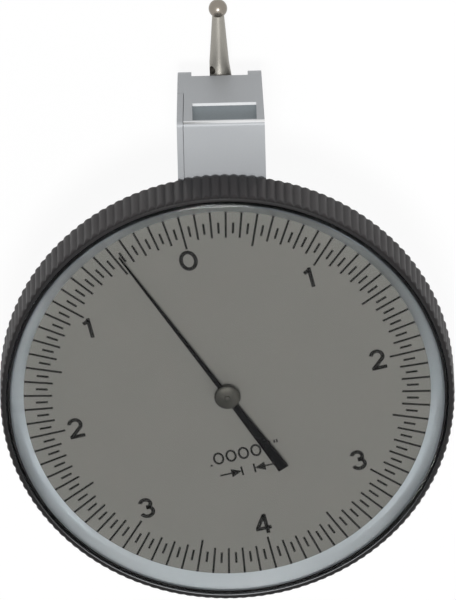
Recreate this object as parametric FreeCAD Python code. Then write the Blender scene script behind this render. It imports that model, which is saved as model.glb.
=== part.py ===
import FreeCAD, Part
import math
import os

# Dial test indicator with a 38 mm rotating dial, millimetres.
# The dial axis is the Z axis and the dial looks towards +Z. The body is a bar along Y under the
# dial, and the measuring stylus leaves its nose towards +Y. Z is 0 on the back of the body.

# Body bar
BODY_DEPTH = 12.7
BODY_WIDTH_FRONT = 7.36
BODY_WIDTH_BACK = 6.9
NOSE_Y = 23.83
TAIL_Y = -15.6
NOSE_CORNER_R = 4.2
NOSE_EDGE_R = 0.4
TAIL_CORNER_R = 1.2
SKIN = 1.1
COVER_THICKNESS = 0.5
COVER_LOW_Z = 1.9
COVER_NOTCH_R = 5.5
COVER_NOTCH_LAND = 0.2
COVER_SCREW_INSET = (4.2, 2.2)
COVER_SCREW_NOSE = (0.8, 2.6)
JOINT_GAP = 0.06
JOINT_GROOVE = 0.2

# Dovetails, all at 60 degrees
DOVETAIL_ANGLE = 60.0
BACK_RAIL_HEIGHT = 1.6
BACK_RAIL_HEAD = 6.35
BACK_RAIL_Y = (-13.0, 14.6)
TAIL_RAIL_LENGTH = 1.8
TAIL_RAIL_HEAD = 6.35
TAIL_RAIL_END_GAP = 0.9
NOSE_RAIL_WIDTH = 5.36
NOSE_RECESS_LOW_Z = 9.1
NOSE_RECESS_DEPTH = 0.26
NOSE_RECESS_DRAFT = 13.0
NOSE_LIP = 0.48

# Stylus and its lever
PIVOT_UP = 2.8
PIVOT_BACK = 3.43
STYLUS_LENGTH = 9.12
BALL_R = 0.78
SHANK_TIP_R = 0.5
SHANK_ROOT_R = 0.82
FLARE_R = 1.15
FLARE_COLLAR = 0.15
FLARE_END = 4.2
FLARE_FLAT = 0.82
KEY_HOLE_R = 0.35
KEY_HOLE_AT = 3.65
ROOT_GAP = 0.1
STYLUS_HUB_R = 1.75
STYLUS_HUB_WIDTH = 2.9
WASHER_THICKNESS = 0.1
WASHER_R = 1.3
FORK_PLATE = 0.65
FORK_R = 2.2
FORK_WEB = 0.6
HUB_PIN_R = 0.6
PIN_FIT = 0.03
CHEEK_GAP = 4.72
SLOT_CLEARANCE = 0.4
SLOT_BACK = 3.0
NOSE_SLOT_TOP = 3.97
PIVOT_SCREW_R = 0.8
PIVOT_CONE_R = 0.42
PIVOT_CONE_LENGTH = 0.42
PIVOT_CONE_TIP_R = 0.1
PIVOT_SCREW_SUNK = 0.15
PIVOT_SLOT_DEPTH = 0.25

# Gear train: teeth, modules and centres
POINTER_TEETH = 10
CROWN_TEETH = 60
CROWN_PINION_TEETH = 10
SECTOR_TEETH = 140
CROWN_MODULE = 0.14
SECTOR_MODULE = 0.12
TRAVEL_PER_TURN = 0.2032
CROWN_UP = 6.75
SECTOR_PIVOT_UP = 5.6
SECTOR_HALF_TEETH = 4
ADDENDUM = 1.0
DEDENDUM = 1.4
PIVOT_R = 0.12
PIVOT_FIT = 0.02
ARBOR_R = 0.25
ARBOR_STEP = 0.05
SHAKE = 0.05
TOOTH_ROOT_SHARE = 0.30
TOOTH_TIP_SHARE = 0.13

# Movement layers across the body, from the cover side to the far wall
CAVITY_BACK_Z = 2.1
CAVITY_BACK_Y = -5.6
CAVITY_RIGHT_X = 2.5
PLATE_LEFT_X = -2.9
PLATE_THICKNESS = 0.5
PILLAR_R = 0.6
PILLAR_TAIL_INSET = (1.1, 1.1, 0.9)
PILLAR_NOSE_INSET = (1.6, 1.8)
PLATE_INSET = 0.3
PLATE_NOSE_CUT = (3.0, 0.6, 1.2)
CROWN_PINION_X = (-2.3, -1.3)
SECTOR_X = (-2.05, -1.55)
ROCKER_X = (-1.45, -0.75)
ARM_X = (-0.6, 0.0)
CROWN_DISC_X = (1.3, 1.7)
CROWN_RIM_WIDTH = 0.45
CROWN_TOOTH_GAP = 0.05
CROWN_ARMS = 5
CROWN_WINDOW_R = (1.2, 3.4)
CROWN_WINDOW_DEG = (16.0, 28.0, 9.0)
CROWN_HUB = (0.7, 0.3, 0.4)
SECTOR_HUB_R = 1.0
SECTOR_WINDOW_R = 2.2
SECTOR_WINDOW_WALL = 0.8
SECTOR_WINDOW_DEG = (12.0, 6.5)
JEWEL_R = 0.5
JEWEL_THICKNESS = 0.4

# Rocker and the two reversing pins
ROCKER_HALF = 0.35
ROCKER_HUB_R = 0.9
ROCKER_OVERHANG = 0.55
REVERSING_PIN_R = 0.3
REVERSING_PIN_WALL = 0.25
CONTACT_GAP = 0.03
ARM_HALF = 0.5
ARM_EYE_R = 0.8
ARM_EYE_WALL = 0.4
FORK_ARM_HALF = 0.75
FORK_SLOT_GAP = 0.35
ARM_FRONT_BOSS = (0.8, 0.3, 0.5)
ARM_REAR_BOSS = (0.8, 0.4, 0.9)
ARM_EYE_STEPS = (0.4, 0.6, 1.6)

# Dial case on the body
CUP_INSET = 0.6
CUP_BASE = 0.6
CUP_RIM_WALL = 0.9
CUP_RIM_HEIGHT = 2.5
CUP_HOLE_R = 1.6
CUP_SCREW_TAIL = 2.6
CUP_SCREW_MIDDLE = 2.4
CUP_SCREW_NOSE = 2.2
CUP_SCREW_EDGE = 0.3
POST_HOLE = 1.2
BRIDGE_UP = 1.2
BRIDGE_THICKNESS = 0.6
BRIDGE_HALF_LENGTH = 6.6
BRIDGE_WIDTH = 3.0
POST_Y = 5.4
POST_R = 1.1
SPRING_UP = 1.3
SPRING_HEIGHT = 0.5
SPRING_DEPTH = 0.32
SPRING_OPEN_DEG = 24.0
SPRING_FREE = 0.03
GROOVE_SIDE_GAP = 0.07
GROOVE_ROOT_GAP = 0.1
COCK_THICKNESS = 0.5
COCK_DROP = 0.9
PINION_OVERHANG = (0.5, 0.6)
COCK_X = (-1.2, 0.3)
COCK_Y = 2.6
COCK_SCREW_X = -0.5
COCK_LEG_HALF = 0.65
COCK_LEG_THREAD = 1.0

# Bezel and what turns with it
BEZEL_R = 19.05
BEZEL_HEIGHT = 4.07
BEZEL_LIFT = 0.25
BEZEL_CHAMFER = 0.16
BEZEL_WALL = 0.6
KNURL_TEETH = 153
KNURL_DEPTH = 0.24
KNURL_ROOT_SHARE = 0.32
KNURL_CREST_SHARE = 0.1
BEZEL_BORE_GAP = 0.2
DIAL_FROM_TOP = 0.92
DIAL_LAP = 0.25
DIAL_THICKNESS = 0.4
DIAL_HOLE_R = 1.0
LEDGE_WIDTH = 0.7
LEDGE_THICKNESS = 0.35
RING_WIDTH = 1.0
RING_LAND = 0.2
RING_HEIGHT = 0.75
CRYSTAL_EDGE = 0.16
CRYSTAL_THICKNESS = 0.5
CRYSTAL_RISE = 1.2
CRYSTAL_CHAMFER = 0.16

# Pointer
HAND_TIP_GAP = 1.35
HAND_TAIL = 7.8
HAND_ROOT_W = 0.42
HAND_TIP_W = 0.12
TAIL_ROOT_W = 0.58
TAIL_END_W = 0.95
HAND_THICKNESS = 0.12
HAND_OVER_DIAL = 0.3
HAND_ANGLE = 33.95
HAND_BOSS_WALL = 0.2
HUB_CAP_R = 1.1
HUB_CAP_RISE = 0.3
HUB_COLLET_R = 0.55
HUB_PIP_R = 0.28
HUB_EDGE = 0.05
HUB_PIP_RISE = 0.11
HUB_COLLET_DROP = 0.15
HUB_STEPS = 6
HAIRSPRING_TURNS = 5
HAIRSPRING_R = 3.2
HAIRSPRING_STRIP = 0.07
HAIRSPRING_HEIGHT = 0.3
HAIRSPRING_UP = 0.45
HAIRSPRING_STEPS = 22
COLLET_MARGIN = 0.15
COLLET_R = 0.7
STUD_R = 0.3
STUD_GAP = 0.01

# Screws: shank radius, head radius, head height
COVER_SCREW = (0.5, 0.9, 0.25)
CUP_SCREW = (0.6, 1.1, 0.4)
BRIDGE_SCREW = (0.45, 0.8, 0.3)
COCK_SCREW = (0.35, 0.6, 0.25)
SCREW_SLOT = 0.22
SCREW_FIT = 0.02
COVER_SCREW_SHANK = 2.0
BRIDGE_SCREW_GRIP = 1.0
COCK_SCREW_GRIP = 0.9
CUP_SCREW_SHORT = 0.1

# Places worked out from the sizes above
CRYSTAL_R = BEZEL_R - BEZEL_WALL
RING_TOP_R = CRYSTAL_R - RING_LAND
RING_INNER_R = RING_TOP_R - RING_WIDTH
DIAL_R = RING_INNER_R + DIAL_LAP
CUP_R = DIAL_R - CUP_INSET
HAND_LENGTH = RING_INNER_R - HAND_TIP_GAP
PIVOT = (NOSE_Y - PIVOT_BACK, PIVOT_UP)
CROWN_R = CROWN_MODULE * CROWN_TEETH / 2
POINTER_PINION_R = CROWN_MODULE * POINTER_TEETH / 2
SECTOR_R = SECTOR_MODULE * SECTOR_TEETH / 2
CROWN_PINION_R = SECTOR_MODULE * CROWN_PINION_TEETH / 2
CROWN_CENTRE = (0.0, CROWN_UP)
SECTOR_DISTANCE = SECTOR_R + CROWN_PINION_R
SECTOR_CENTRE = (math.sqrt(SECTOR_DISTANCE ** 2 - (CROWN_UP - SECTOR_PIVOT_UP) ** 2), SECTOR_PIVOT_UP)
LEVER_SPAN = math.dist(PIVOT, SECTOR_CENTRE)
GEAR_RATIO = SECTOR_TEETH / CROWN_PINION_TEETH * CROWN_TEETH / POINTER_TEETH
LEVER_RATIO = 2 * math.pi * STYLUS_LENGTH / TRAVEL_PER_TURN / GEAR_RATIO
FRONT_PIN_REACH = LEVER_SPAN / (LEVER_RATIO + 1)
REAR_PIN_REACH = LEVER_SPAN / (LEVER_RATIO - 1)
BEZEL_Z = BODY_DEPTH + BEZEL_LIFT
BEZEL_TOP_Z = BEZEL_Z + BEZEL_HEIGHT
DIAL_Z = BEZEL_TOP_Z - DIAL_FROM_TOP
CUP_TOP_Z = BODY_DEPTH + CUP_BASE
RING_TOP_Z = DIAL_Z + RING_HEIGHT
HAND_Z = DIAL_Z + HAND_OVER_DIAL
BRIDGE_Z = CUP_TOP_Z + BRIDGE_UP
PINION_TOP_Z = CROWN_UP + CROWN_R + PINION_OVERHANG[1]
PINION_Z = CROWN_UP + CROWN_R - PINION_OVERHANG[0]
COCK_Z = PINION_Z - COCK_DROP
CAVITY_TOP_Z = BODY_DEPTH - SKIN
CAVITY_NOSE_Y = PIVOT[0] - COVER_NOTCH_R - COVER_NOTCH_LAND
SLOT_R = FORK_R + SLOT_CLEARANCE
LEAN = 1 / math.tan(math.radians(DOVETAIL_ANGLE))


def vec(x, y, z):
    """Return a point."""
    return FreeCAD.Vector(x, y, z)


def closed_face(points):
    """Return the flat face inside a closed run of points."""
    return Part.Face(Part.makePolygon(points + [points[0]]))


def plate_x(outline, x_low, x_high):
    """Return a plate across the body: an outline of (y, z) points between two x planes."""
    face = closed_face([vec(x_low, y, z) for y, z in outline])
    return face.extrude(vec(x_high - x_low, 0, 0))


def plate_z(outline, z_low, z_high):
    """Return a plate flat to the dial: an outline of (x, y) points between two heights."""
    face = closed_face([vec(x, y, z_low) for x, y in outline])
    return face.extrude(vec(0, 0, z_high - z_low))


def block(x_span, y_span, z_span):
    """Return a block between three pairs of limits."""
    size = [high - low for low, high in (x_span, y_span, z_span)]
    return Part.makeBox(*size, vec(x_span[0], y_span[0], z_span[0]))


def rod_x(radius, x_low, x_high, centre):
    """Return a rod across the body, round a (y, z) centre."""
    return Part.makeCylinder(radius, x_high - x_low, vec(x_low, *centre), vec(1, 0, 0))


def rod_z(radius, z_low, z_high, centre=(0.0, 0.0)):
    """Return an upright rod round an (x, y) centre."""
    return Part.makeCylinder(radius, z_high - z_low, vec(*centre, z_low), vec(0, 0, 1))


def turned_z(outline):
    """Return the solid turned about the dial axis from an outline of (radius, height) points."""
    face = closed_face([vec(radius, 0, height) for radius, height in outline])
    return face.revolve(vec(0, 0, 0), vec(0, 0, 1), 360)


def turned_y(outline, centre):
    """Return the solid turned about a line along Y from (distance, radius) points."""
    y_start, z_start = centre
    face = closed_face([vec(radius, y_start + distance, z_start) for distance, radius in outline])
    return face.revolve(vec(0, y_start, z_start), vec(0, 1, 0), 360)


def polar(radius, degrees):
    """Return the flat point at a radius and angle."""
    turn = math.radians(degrees)
    return radius * math.cos(turn), radius * math.sin(turn)


def gear_outline(teeth, root_r, tip_r, phase=0.0, first=0, count=None):
    """Return the points of a row of narrow trapezoid teeth, centred on phase degrees."""
    pitch = 360 / teeth
    corners = ((-TOOTH_ROOT_SHARE, root_r), (-TOOTH_TIP_SHARE, tip_r), (TOOTH_TIP_SHARE, tip_r),
               (TOOTH_ROOT_SHARE, root_r))
    outline = []
    for index in range(first, first + (count or teeth)):
        centre = phase + index * pitch
        outline += [polar(radius, centre + share * pitch) for share, radius in corners]
    return outline


def shifted(outline, centre):
    """Return an outline moved to a centre."""
    return [(a + centre[0], b + centre[1]) for a, b in outline]


def on_lever(distance, rise=0.0):
    """Return the (y, z) point at a distance from the stylus pivot towards the sector pivot."""
    along_y = (SECTOR_CENTRE[0] - PIVOT[0]) / LEVER_SPAN
    along_z = (SECTOR_CENTRE[1] - PIVOT[1]) / LEVER_SPAN
    return (PIVOT[0] + along_y * distance + along_z * rise,
            PIVOT[1] + along_z * distance - along_y * rise)


def half_width(z):
    """Return half the width of the body bar at a height: its sides lean in towards the back."""
    return (BODY_WIDTH_BACK + (BODY_WIDTH_FRONT - BODY_WIDTH_BACK) * z / BODY_DEPTH) / 2


def bar_section(left_inset=0.0):
    """Return a long bar with the body's leaning sides, its left side moved in."""
    y_low = TAIL_Y - BODY_DEPTH
    y_high = NOSE_Y + BODY_DEPTH
    corners = []
    for z in (-1.0, BODY_DEPTH + 1.0):
        corners.append((half_width(z), z))
    for z in (BODY_DEPTH + 1.0, -1.0):
        corners.append((left_inset - half_width(z), z))
    face = closed_face([vec(x, y_low, z) for x, z in corners])
    return face.extrude(vec(0, y_high - y_low, 0))


def rounded_side_outline():
    """Return the edges of the body seen from the side, with its rounded nose and tail."""
    def corner(y, z, radius, y_sign, z_sign):
        mid = radius * (1 - math.sqrt(0.5))
        ends = (vec(0, y, z - z_sign * radius), vec(0, y - y_sign * radius, z))
        return ends, vec(0, y - y_sign * mid, z - z_sign * mid)

    low_nose = corner(NOSE_Y, 0, NOSE_CORNER_R, 1, -1)
    top_nose = corner(NOSE_Y, BODY_DEPTH, NOSE_EDGE_R, 1, 1)
    top_tail = corner(TAIL_Y, BODY_DEPTH, TAIL_CORNER_R, -1, 1)
    low_tail = corner(TAIL_Y, 0, TAIL_CORNER_R, -1, -1)
    turns = []
    for (side, level), mid in (low_nose, top_nose, top_tail, low_tail):
        turns.append((side, mid, level))
    turns[0] = turns[0][::-1]
    turns[2] = turns[2][::-1]
    edges = []
    for index, (start, mid, end) in enumerate(turns):
        edges.append(Part.Arc(start, mid, end).toShape())
        edges.append(Part.makeLine(end, turns[(index + 1) % len(turns)][0]))
    return edges


def bar_solid():
    """Return the plain body bar: side outline across the full width, with leaning sides."""
    wide = BODY_WIDTH_FRONT + 2
    face = Part.Face(Part.Wire(rounded_side_outline()))
    face.translate(vec(-wide / 2, 0, 0))
    return face.extrude(vec(wide, 0, 0)).common(bar_section())


def cover_blank(gap):
    """Return the side cover's plate, a gap clear of the round boss of the stylus pivot."""
    region = block((-BODY_WIDTH_FRONT, 0), (TAIL_Y - 1, NOSE_Y + 1), (COVER_LOW_Z, BODY_DEPTH + 1))
    region = region.cut(rod_x(COVER_NOTCH_R + gap, -BODY_WIDTH_FRONT, 0, PIVOT))
    return bar_solid().common(region).cut(bar_section(COVER_THICKNESS))


def dovetail_cut(head, height, y_span):
    """Return the two side cuts that leave a male dovetail rail along the back of the body."""
    neck = head / 2 - height * LEAN
    low = head / 2 + LEAN
    cuts = []
    for sign in (-1, 1):
        corners = ((low, -1.0), (BODY_WIDTH_FRONT, -1.0), (BODY_WIDTH_FRONT, height), (neck, height))
        face = closed_face([vec(sign * x, y_span[0], z) for x, z in corners])
        cuts.append(face.extrude(vec(0, y_span[1] - y_span[0], 0)))
    return cuts


def tail_rail():
    """Return the upright male dovetail rail on the tail of the body."""
    head = TAIL_RAIL_HEAD / 2
    neck = head - TAIL_RAIL_LENGTH * LEAN
    end = TAIL_Y - TAIL_RAIL_LENGTH
    corners = ((-neck, TAIL_Y + 0.5), (-neck, TAIL_Y), (-head, end), (head, end), (neck, TAIL_Y),
               (neck, TAIL_Y + 0.5))
    return plate_z(corners, TAIL_CORNER_R + TAIL_RAIL_END_GAP, BODY_DEPTH - TAIL_CORNER_R)


def joint_groove():
    """Return the fine groove along the cover's edge, on the nose and on the front before the dial."""
    groove = bar_section(COVER_THICKNESS).cut(bar_section(COVER_THICKNESS + JOINT_GAP))
    front = block((-BODY_WIDTH_FRONT, 0), (CUP_R, NOSE_Y + 1), (BODY_DEPTH - JOINT_GROOVE, BODY_DEPTH + 1))
    nose = block((-BODY_WIDTH_FRONT, 0), (NOSE_Y - JOINT_GROOVE, NOSE_Y + 1), (COVER_LOW_Z, BODY_DEPTH))
    return groove.common(front.fuse(nose)).cut(rod_x(COVER_NOTCH_R, -BODY_WIDTH_FRONT, 0, PIVOT))


def nose_recess():
    """Return the cut that leaves the transverse rail along the top edge of the nose."""
    half = NOSE_RAIL_WIDTH / 2
    top = BODY_DEPTH - NOSE_LIP
    foot = NOSE_Y - NOSE_RECESS_DEPTH
    depth = (top - NOSE_RECESS_LOW_Z) * math.tan(math.radians(NOSE_RECESS_DRAFT))
    return plate_x([(NOSE_Y + 1, NOSE_RECESS_LOW_Z), (foot, NOSE_RECESS_LOW_Z),
                    (foot - depth, top), (NOSE_Y + 1, top)], -half, half)


def stylus_slot():
    """Return the space between the cheeks where the stylus hub and its fork swing."""
    half = CHEEK_GAP / 2
    back = PIVOT[0] - SLOT_BACK
    mouth = block((-half, half), (back, NOSE_Y + 1), (-1, NOSE_SLOT_TOP))
    rear = block((-half, half), (back, PIVOT[0]), (1, PIVOT[1] + SLOT_R - SLOT_CLEARANCE))
    passage = block((ARM_X[0] - SLOT_CLEARANCE, ARM_X[1] + SLOT_CLEARANCE),
                    (CAVITY_NOSE_Y - 1, back + 1), (CAVITY_BACK_Z, PIVOT[1] + SLOT_R))
    return [mouth, rear, rod_x(SLOT_R, -half, half, PIVOT), passage]


def cover_screw_places():
    """Return the (y, z) places of the cover screws: two in the tail, one behind the nose."""
    tail_y = (TAIL_Y + CAVITY_BACK_Y) / 2
    nose_y = (CAVITY_NOSE_Y + NOSE_Y) / 2 - COVER_SCREW_NOSE[0]
    return [(tail_y, COVER_SCREW_INSET[0]), (tail_y, BODY_DEPTH - COVER_SCREW_INSET[1]),
            (nose_y, BODY_DEPTH - COVER_SCREW_NOSE[1])]


def cup_screw_places():
    """Return the (x, y) places of the screws that hold the dial case on the body."""
    rim = CUP_R - CUP_RIM_WALL - CUP_SCREW[1] - CUP_SCREW_EDGE
    return [(0.0, max(TAIL_Y + CUP_SCREW_TAIL, -rim)), (0.0, CAVITY_BACK_Y - CUP_SCREW_MIDDLE),
            (0.0, min(CAVITY_NOSE_Y - CUP_SCREW_NOSE, rim))]


def pillar_places():
    """Return the (y, z) places of the movement plate's pillars, clear of the crown wheel."""
    along, down, up = PILLAR_TAIL_INSET
    return [(CAVITY_BACK_Y + along, CAVITY_TOP_Z - down), (CAVITY_BACK_Y + along, CAVITY_BACK_Z + up),
            (CAVITY_NOSE_Y - PILLAR_NOSE_INSET[0], CAVITY_TOP_Z - PILLAR_NOSE_INSET[1])]


def slotted_screw(sizes, shank):
    """Return an upright screw whose head stands on z 0 and whose shank goes down."""
    shank_r, head_r, head_h = sizes
    screw = rod_z(shank_r, -shank, 0).fuse(rod_z(head_r, 0, head_h))
    cut = block((-head_r, head_r), (-SCREW_SLOT / 2, SCREW_SLOT / 2), (head_h / 2, head_h + 1))
    return screw.cut(cut)


def screws_down(sizes, shank, z, places):
    """Return upright screws at (x, y) places."""
    group = []
    for x, y in places:
        screw = slotted_screw(sizes, shank)
        screw.translate(vec(x, y, z))
        group.append(screw)
    return Part.makeCompound(group)


def screws_from_left(sizes, shank, x_head, places):
    """Return screws put in from the left side at (y, z) places, heads under x_head."""
    group = []
    for y, z in places:
        screw = slotted_screw(sizes, shank)
        screw.rotate(vec(0, 0, 0), vec(0, 1, 0), -90)
        screw.translate(vec(x_head, y, z))
        group.append(screw)
    return Part.makeCompound(group)


def housing():
    """Return the body: a milled bar, open on the left, with cheeks, dovetails and seats."""
    body = bar_solid().fuse(tail_rail())
    cavity = block((-BODY_WIDTH_FRONT, CAVITY_RIGHT_X), (CAVITY_BACK_Y, CAVITY_NOSE_Y),
                   (CAVITY_BACK_Z, CAVITY_TOP_Z))
    cuts = [cover_blank(0.0), cavity, rod_z(CUP_HOLE_R, CAVITY_TOP_Z - 1, BODY_DEPTH + 1)]
    cuts += dovetail_cut(BACK_RAIL_HEAD, BACK_RAIL_HEIGHT, BACK_RAIL_Y)
    cuts += [nose_recess(), joint_groove()]
    cuts += stylus_slot()
    cuts.append(rod_x(PIVOT_SCREW_R, -BODY_WIDTH_FRONT, BODY_WIDTH_FRONT, PIVOT))
    for centre in (CROWN_CENTRE, SECTOR_CENTRE):
        cuts.append(rod_x(JEWEL_R, CAVITY_RIGHT_X - 1, CAVITY_RIGHT_X + JEWEL_THICKNESS, centre))
    for place in cover_screw_places():
        cuts.append(rod_x(COVER_SCREW[0], -BODY_WIDTH_FRONT, 0, place))
    for place in cup_screw_places():
        cuts.append(rod_z(CUP_SCREW[0], CAVITY_TOP_Z - SKIN, BODY_DEPTH + 1, place))
    for place in cock_screw_places():
        cuts.append(rod_z(COCK_SCREW[0] + SCREW_FIT, CAVITY_TOP_Z - 1, BODY_DEPTH + 1, place))
        cuts.append(rod_z(COCK_SCREW[1] + SCREW_FIT, BODY_DEPTH - COCK_SCREW[2], BODY_DEPTH + 1, place))
    for cut in cuts:
        body = body.cut(cut)
    return body


def side_cover():
    """Return the left cover plate with countersunk screw seats."""
    cover = cover_blank(JOINT_GAP)
    seats = []
    for y, z in cover_screw_places():
        left = -half_width(z)
        seats.append(rod_x(COVER_SCREW[0] + SCREW_FIT, left - 1, 0, (y, z)))
        seats.append(rod_x(COVER_SCREW[1] + SCREW_FIT, left - 1, left + COVER_SCREW[2] + SHAKE, (y, z)))
    return cover.cut(seats)


def cover_screws():
    """Return the three cover screws, heads just under the face of the cover."""
    group = []
    for y, z in cover_screw_places():
        head = -half_width(z) + COVER_SCREW[2] + SHAKE
        group += screws_from_left(COVER_SCREW, COVER_SCREW_SHANK, head, [(y, z)]).Solids
    return Part.makeCompound(group)


def movement_plate():
    """Return the left movement plate with its three pillars."""
    plate_x_high = PLATE_LEFT_X + PLATE_THICKNESS
    places = pillar_places()
    foot, inset, drop = PLATE_NOSE_CUT
    tail_y, nose_y = CAVITY_BACK_Y + PLATE_INSET, CAVITY_NOSE_Y - inset
    low_z, high_z = CAVITY_BACK_Z + PLATE_INSET, CAVITY_TOP_Z - PLATE_INSET
    outline = [(tail_y, low_z), (CAVITY_NOSE_Y - foot, low_z), (nose_y, places[2][1] - drop),
               (nose_y, high_z), (tail_y, high_z)]
    plate = plate_x(outline, PLATE_LEFT_X, plate_x_high)
    plate = plate.fuse([rod_x(PILLAR_R, plate_x_high, CAVITY_RIGHT_X, place) for place in places])
    seats = [rod_x(JEWEL_R, PLATE_LEFT_X - 1, plate_x_high + 1, centre)
             for centre in (CROWN_CENTRE, SECTOR_CENTRE)]
    return plate.cut(seats)


def jewel_x(x_low, centre):
    """Return a holed jewel for an arbor that runs across the body."""
    hole = rod_x(PIVOT_R + PIVOT_FIT, x_low - 1, x_low + 1, centre)
    return rod_x(JEWEL_R, x_low, x_low + JEWEL_THICKNESS, centre).cut(hole)


def train_jewels():
    """Return the four jewels of the crown and sector arbors, in the plate and the far wall."""
    pairs = []
    for centre in (CROWN_CENTRE, SECTOR_CENTRE):
        pairs.append(jewel_x(PLATE_LEFT_X + SHAKE, centre))
        pairs.append(jewel_x(CAVITY_RIGHT_X, centre))
    return Part.makeCompound(pairs)


def arbor_x(centre):
    """Return an arbor across the body with a thinner pivot at each end."""
    left = PLATE_LEFT_X + PLATE_THICKNESS + SHAKE
    right = CAVITY_RIGHT_X - SHAKE
    reach = SHAKE + JEWEL_THICKNESS - PIVOT_FIT
    pivots = rod_x(PIVOT_R, left - reach, right + reach, centre)
    return rod_x(ARBOR_R, left, right, centre).fuse(pivots)


def pivot_screws():
    """Return the two cone-pointed screws that carry the lever between the cheeks."""
    inner = CHEEK_GAP / 2
    outer = half_width(PIVOT_UP) - PIVOT_SCREW_SUNK
    group = []
    for sign in (-1, 1):
        shank = rod_x(PIVOT_SCREW_R, *sorted((sign * inner, sign * outer)), PIVOT)
        cone = Part.makeCone(PIVOT_CONE_R, PIVOT_CONE_TIP_R, PIVOT_CONE_LENGTH, vec(sign * inner, *PIVOT),
                             vec(-sign, 0, 0))
        slot = block(sorted((sign * (outer - PIVOT_SLOT_DEPTH), sign * (outer + 1))),
                     (PIVOT[0] - PIVOT_SCREW_R, PIVOT[0] + PIVOT_SCREW_R),
                     (PIVOT[1] - SCREW_SLOT / 2, PIVOT[1] + SCREW_SLOT / 2))
        group.append(shank.fuse(cone).cut(slot))
    return Part.makeCompound(group)


def cock_screw_places():
    """Return the (x, y) places of the two screws of the lower bearing cock."""
    return [(COCK_SCREW_X, -COCK_Y), (COCK_SCREW_X, COCK_Y)]


def bearing_cock():
    """Return the small bridge under the pointer pinion that holds its lower jewel."""
    legs = []
    for _, y in cock_screw_places():
        legs.append(block(COCK_X, (y - COCK_LEG_HALF, y + COCK_LEG_HALF), (COCK_Z, CAVITY_TOP_Z)))
    floor = block(COCK_X, (-COCK_Y, COCK_Y), (COCK_Z, COCK_Z + COCK_THICKNESS))
    cock = floor.fuse(rod_z(JEWEL_R + COCK_X[1], COCK_Z, COCK_Z + COCK_THICKNESS)).fuse(legs)
    cuts = [rod_z(JEWEL_R, COCK_Z - 1, COCK_Z + 1)]
    for x, y in cock_screw_places():
        cuts.append(rod_z(COCK_SCREW[0], CAVITY_TOP_Z - COCK_LEG_THREAD, CAVITY_TOP_Z + 1, (x, y)))
    return cock.cut(cuts)


def cock_screws():
    """Return the two screws that come down through the front wall into the cock."""
    head_z = BODY_DEPTH - COCK_SCREW[2]
    return screws_down(COCK_SCREW, SKIN - COCK_SCREW[2] + COCK_SCREW_GRIP, head_z, cock_screw_places())


def jewel_z(z_low, hole_r):
    """Return a holed jewel on the dial axis."""
    return rod_z(JEWEL_R, z_low, z_low + JEWEL_THICKNESS).cut(rod_z(hole_r + PIVOT_FIT, z_low - 1, z_low + 1))


def case_cup():
    """Return the round dial case that is screwed on the body, with a grooved rim."""
    rim_in = CUP_R - CUP_RIM_WALL
    top = BODY_DEPTH + CUP_RIM_HEIGHT
    groove = BODY_DEPTH + SPRING_UP
    groove_r = CUP_R - SPRING_DEPTH
    outline = [(CUP_HOLE_R, BODY_DEPTH), (CUP_R, BODY_DEPTH), (CUP_R, groove), (groove_r, groove),
               (groove_r, groove + SPRING_HEIGHT + 2 * SPRING_FREE),
               (CUP_R, groove + SPRING_HEIGHT + 2 * SPRING_FREE),
               (CUP_R, top), (rim_in, top), (rim_in, CUP_TOP_Z), (CUP_HOLE_R, CUP_TOP_Z)]
    cup = turned_z(outline)
    posts = [rod_z(POST_R, CUP_TOP_Z, BRIDGE_Z, (0.0, y)) for y in (-POST_Y, POST_Y)]
    cup = cup.fuse(posts)
    holes = [rod_z(CUP_SCREW[0] + SCREW_FIT, BODY_DEPTH - 1, CUP_TOP_Z + 1, place)
             for place in cup_screw_places()]
    holes += [rod_z(BRIDGE_SCREW[0], BRIDGE_Z - POST_HOLE, BRIDGE_Z + 1, (0.0, y)) for y in (-POST_Y, POST_Y)]
    for x, y in cock_screw_places():
        holes.append(rod_z(COCK_SCREW[1] + SCREW_FIT, BODY_DEPTH - 1, CUP_TOP_Z + 1, (x, y)))
    return cup.cut(holes)


def upper_bridge():
    """Return the bridge over the hairspring that holds the pointer's upper jewel."""
    reach = BRIDGE_HALF_LENGTH - BRIDGE_WIDTH / 2
    bar = block((-BRIDGE_WIDTH / 2, BRIDGE_WIDTH / 2), (-reach, reach), (BRIDGE_Z, BRIDGE_Z + BRIDGE_THICKNESS))
    ends = [rod_z(BRIDGE_WIDTH / 2, BRIDGE_Z, BRIDGE_Z + BRIDGE_THICKNESS, (0.0, y)) for y in (-reach, reach)]
    holes = [rod_z(JEWEL_R, BRIDGE_Z - 1, BRIDGE_Z + 1)]
    holes += [rod_z(BRIDGE_SCREW[0] + SCREW_FIT, BRIDGE_Z - 1, BRIDGE_Z + 1, (0.0, y))
              for y in (-POST_Y, POST_Y)]
    return bar.fuse(ends).cut(holes)


def bridge_screws():
    """Return the two screws that hold the bridge on the posts."""
    head_z = BRIDGE_Z + BRIDGE_THICKNESS
    places = [(0.0, -POST_Y), (0.0, POST_Y)]
    return screws_down(BRIDGE_SCREW, BRIDGE_THICKNESS + BRIDGE_SCREW_GRIP, head_z, places)


def ring_spring():
    """Return the flat open spring ring that keeps the bezel on the case and drags on it."""
    low = BODY_DEPTH + SPRING_UP + SPRING_FREE
    ring = rod_z(CUP_R + SPRING_DEPTH, low, low + SPRING_HEIGHT)
    ring = ring.cut(rod_z(CUP_R - SPRING_DEPTH + SPRING_FREE, low - 1, low + 1))
    reach = 2 * CUP_R
    half = SPRING_OPEN_DEG / 2
    wedge = plate_z([(0.0, 0.0), polar(reach, 270 - half), polar(reach, 270 + half)], low - 1, low + 1)
    return ring.cut(wedge)


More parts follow.
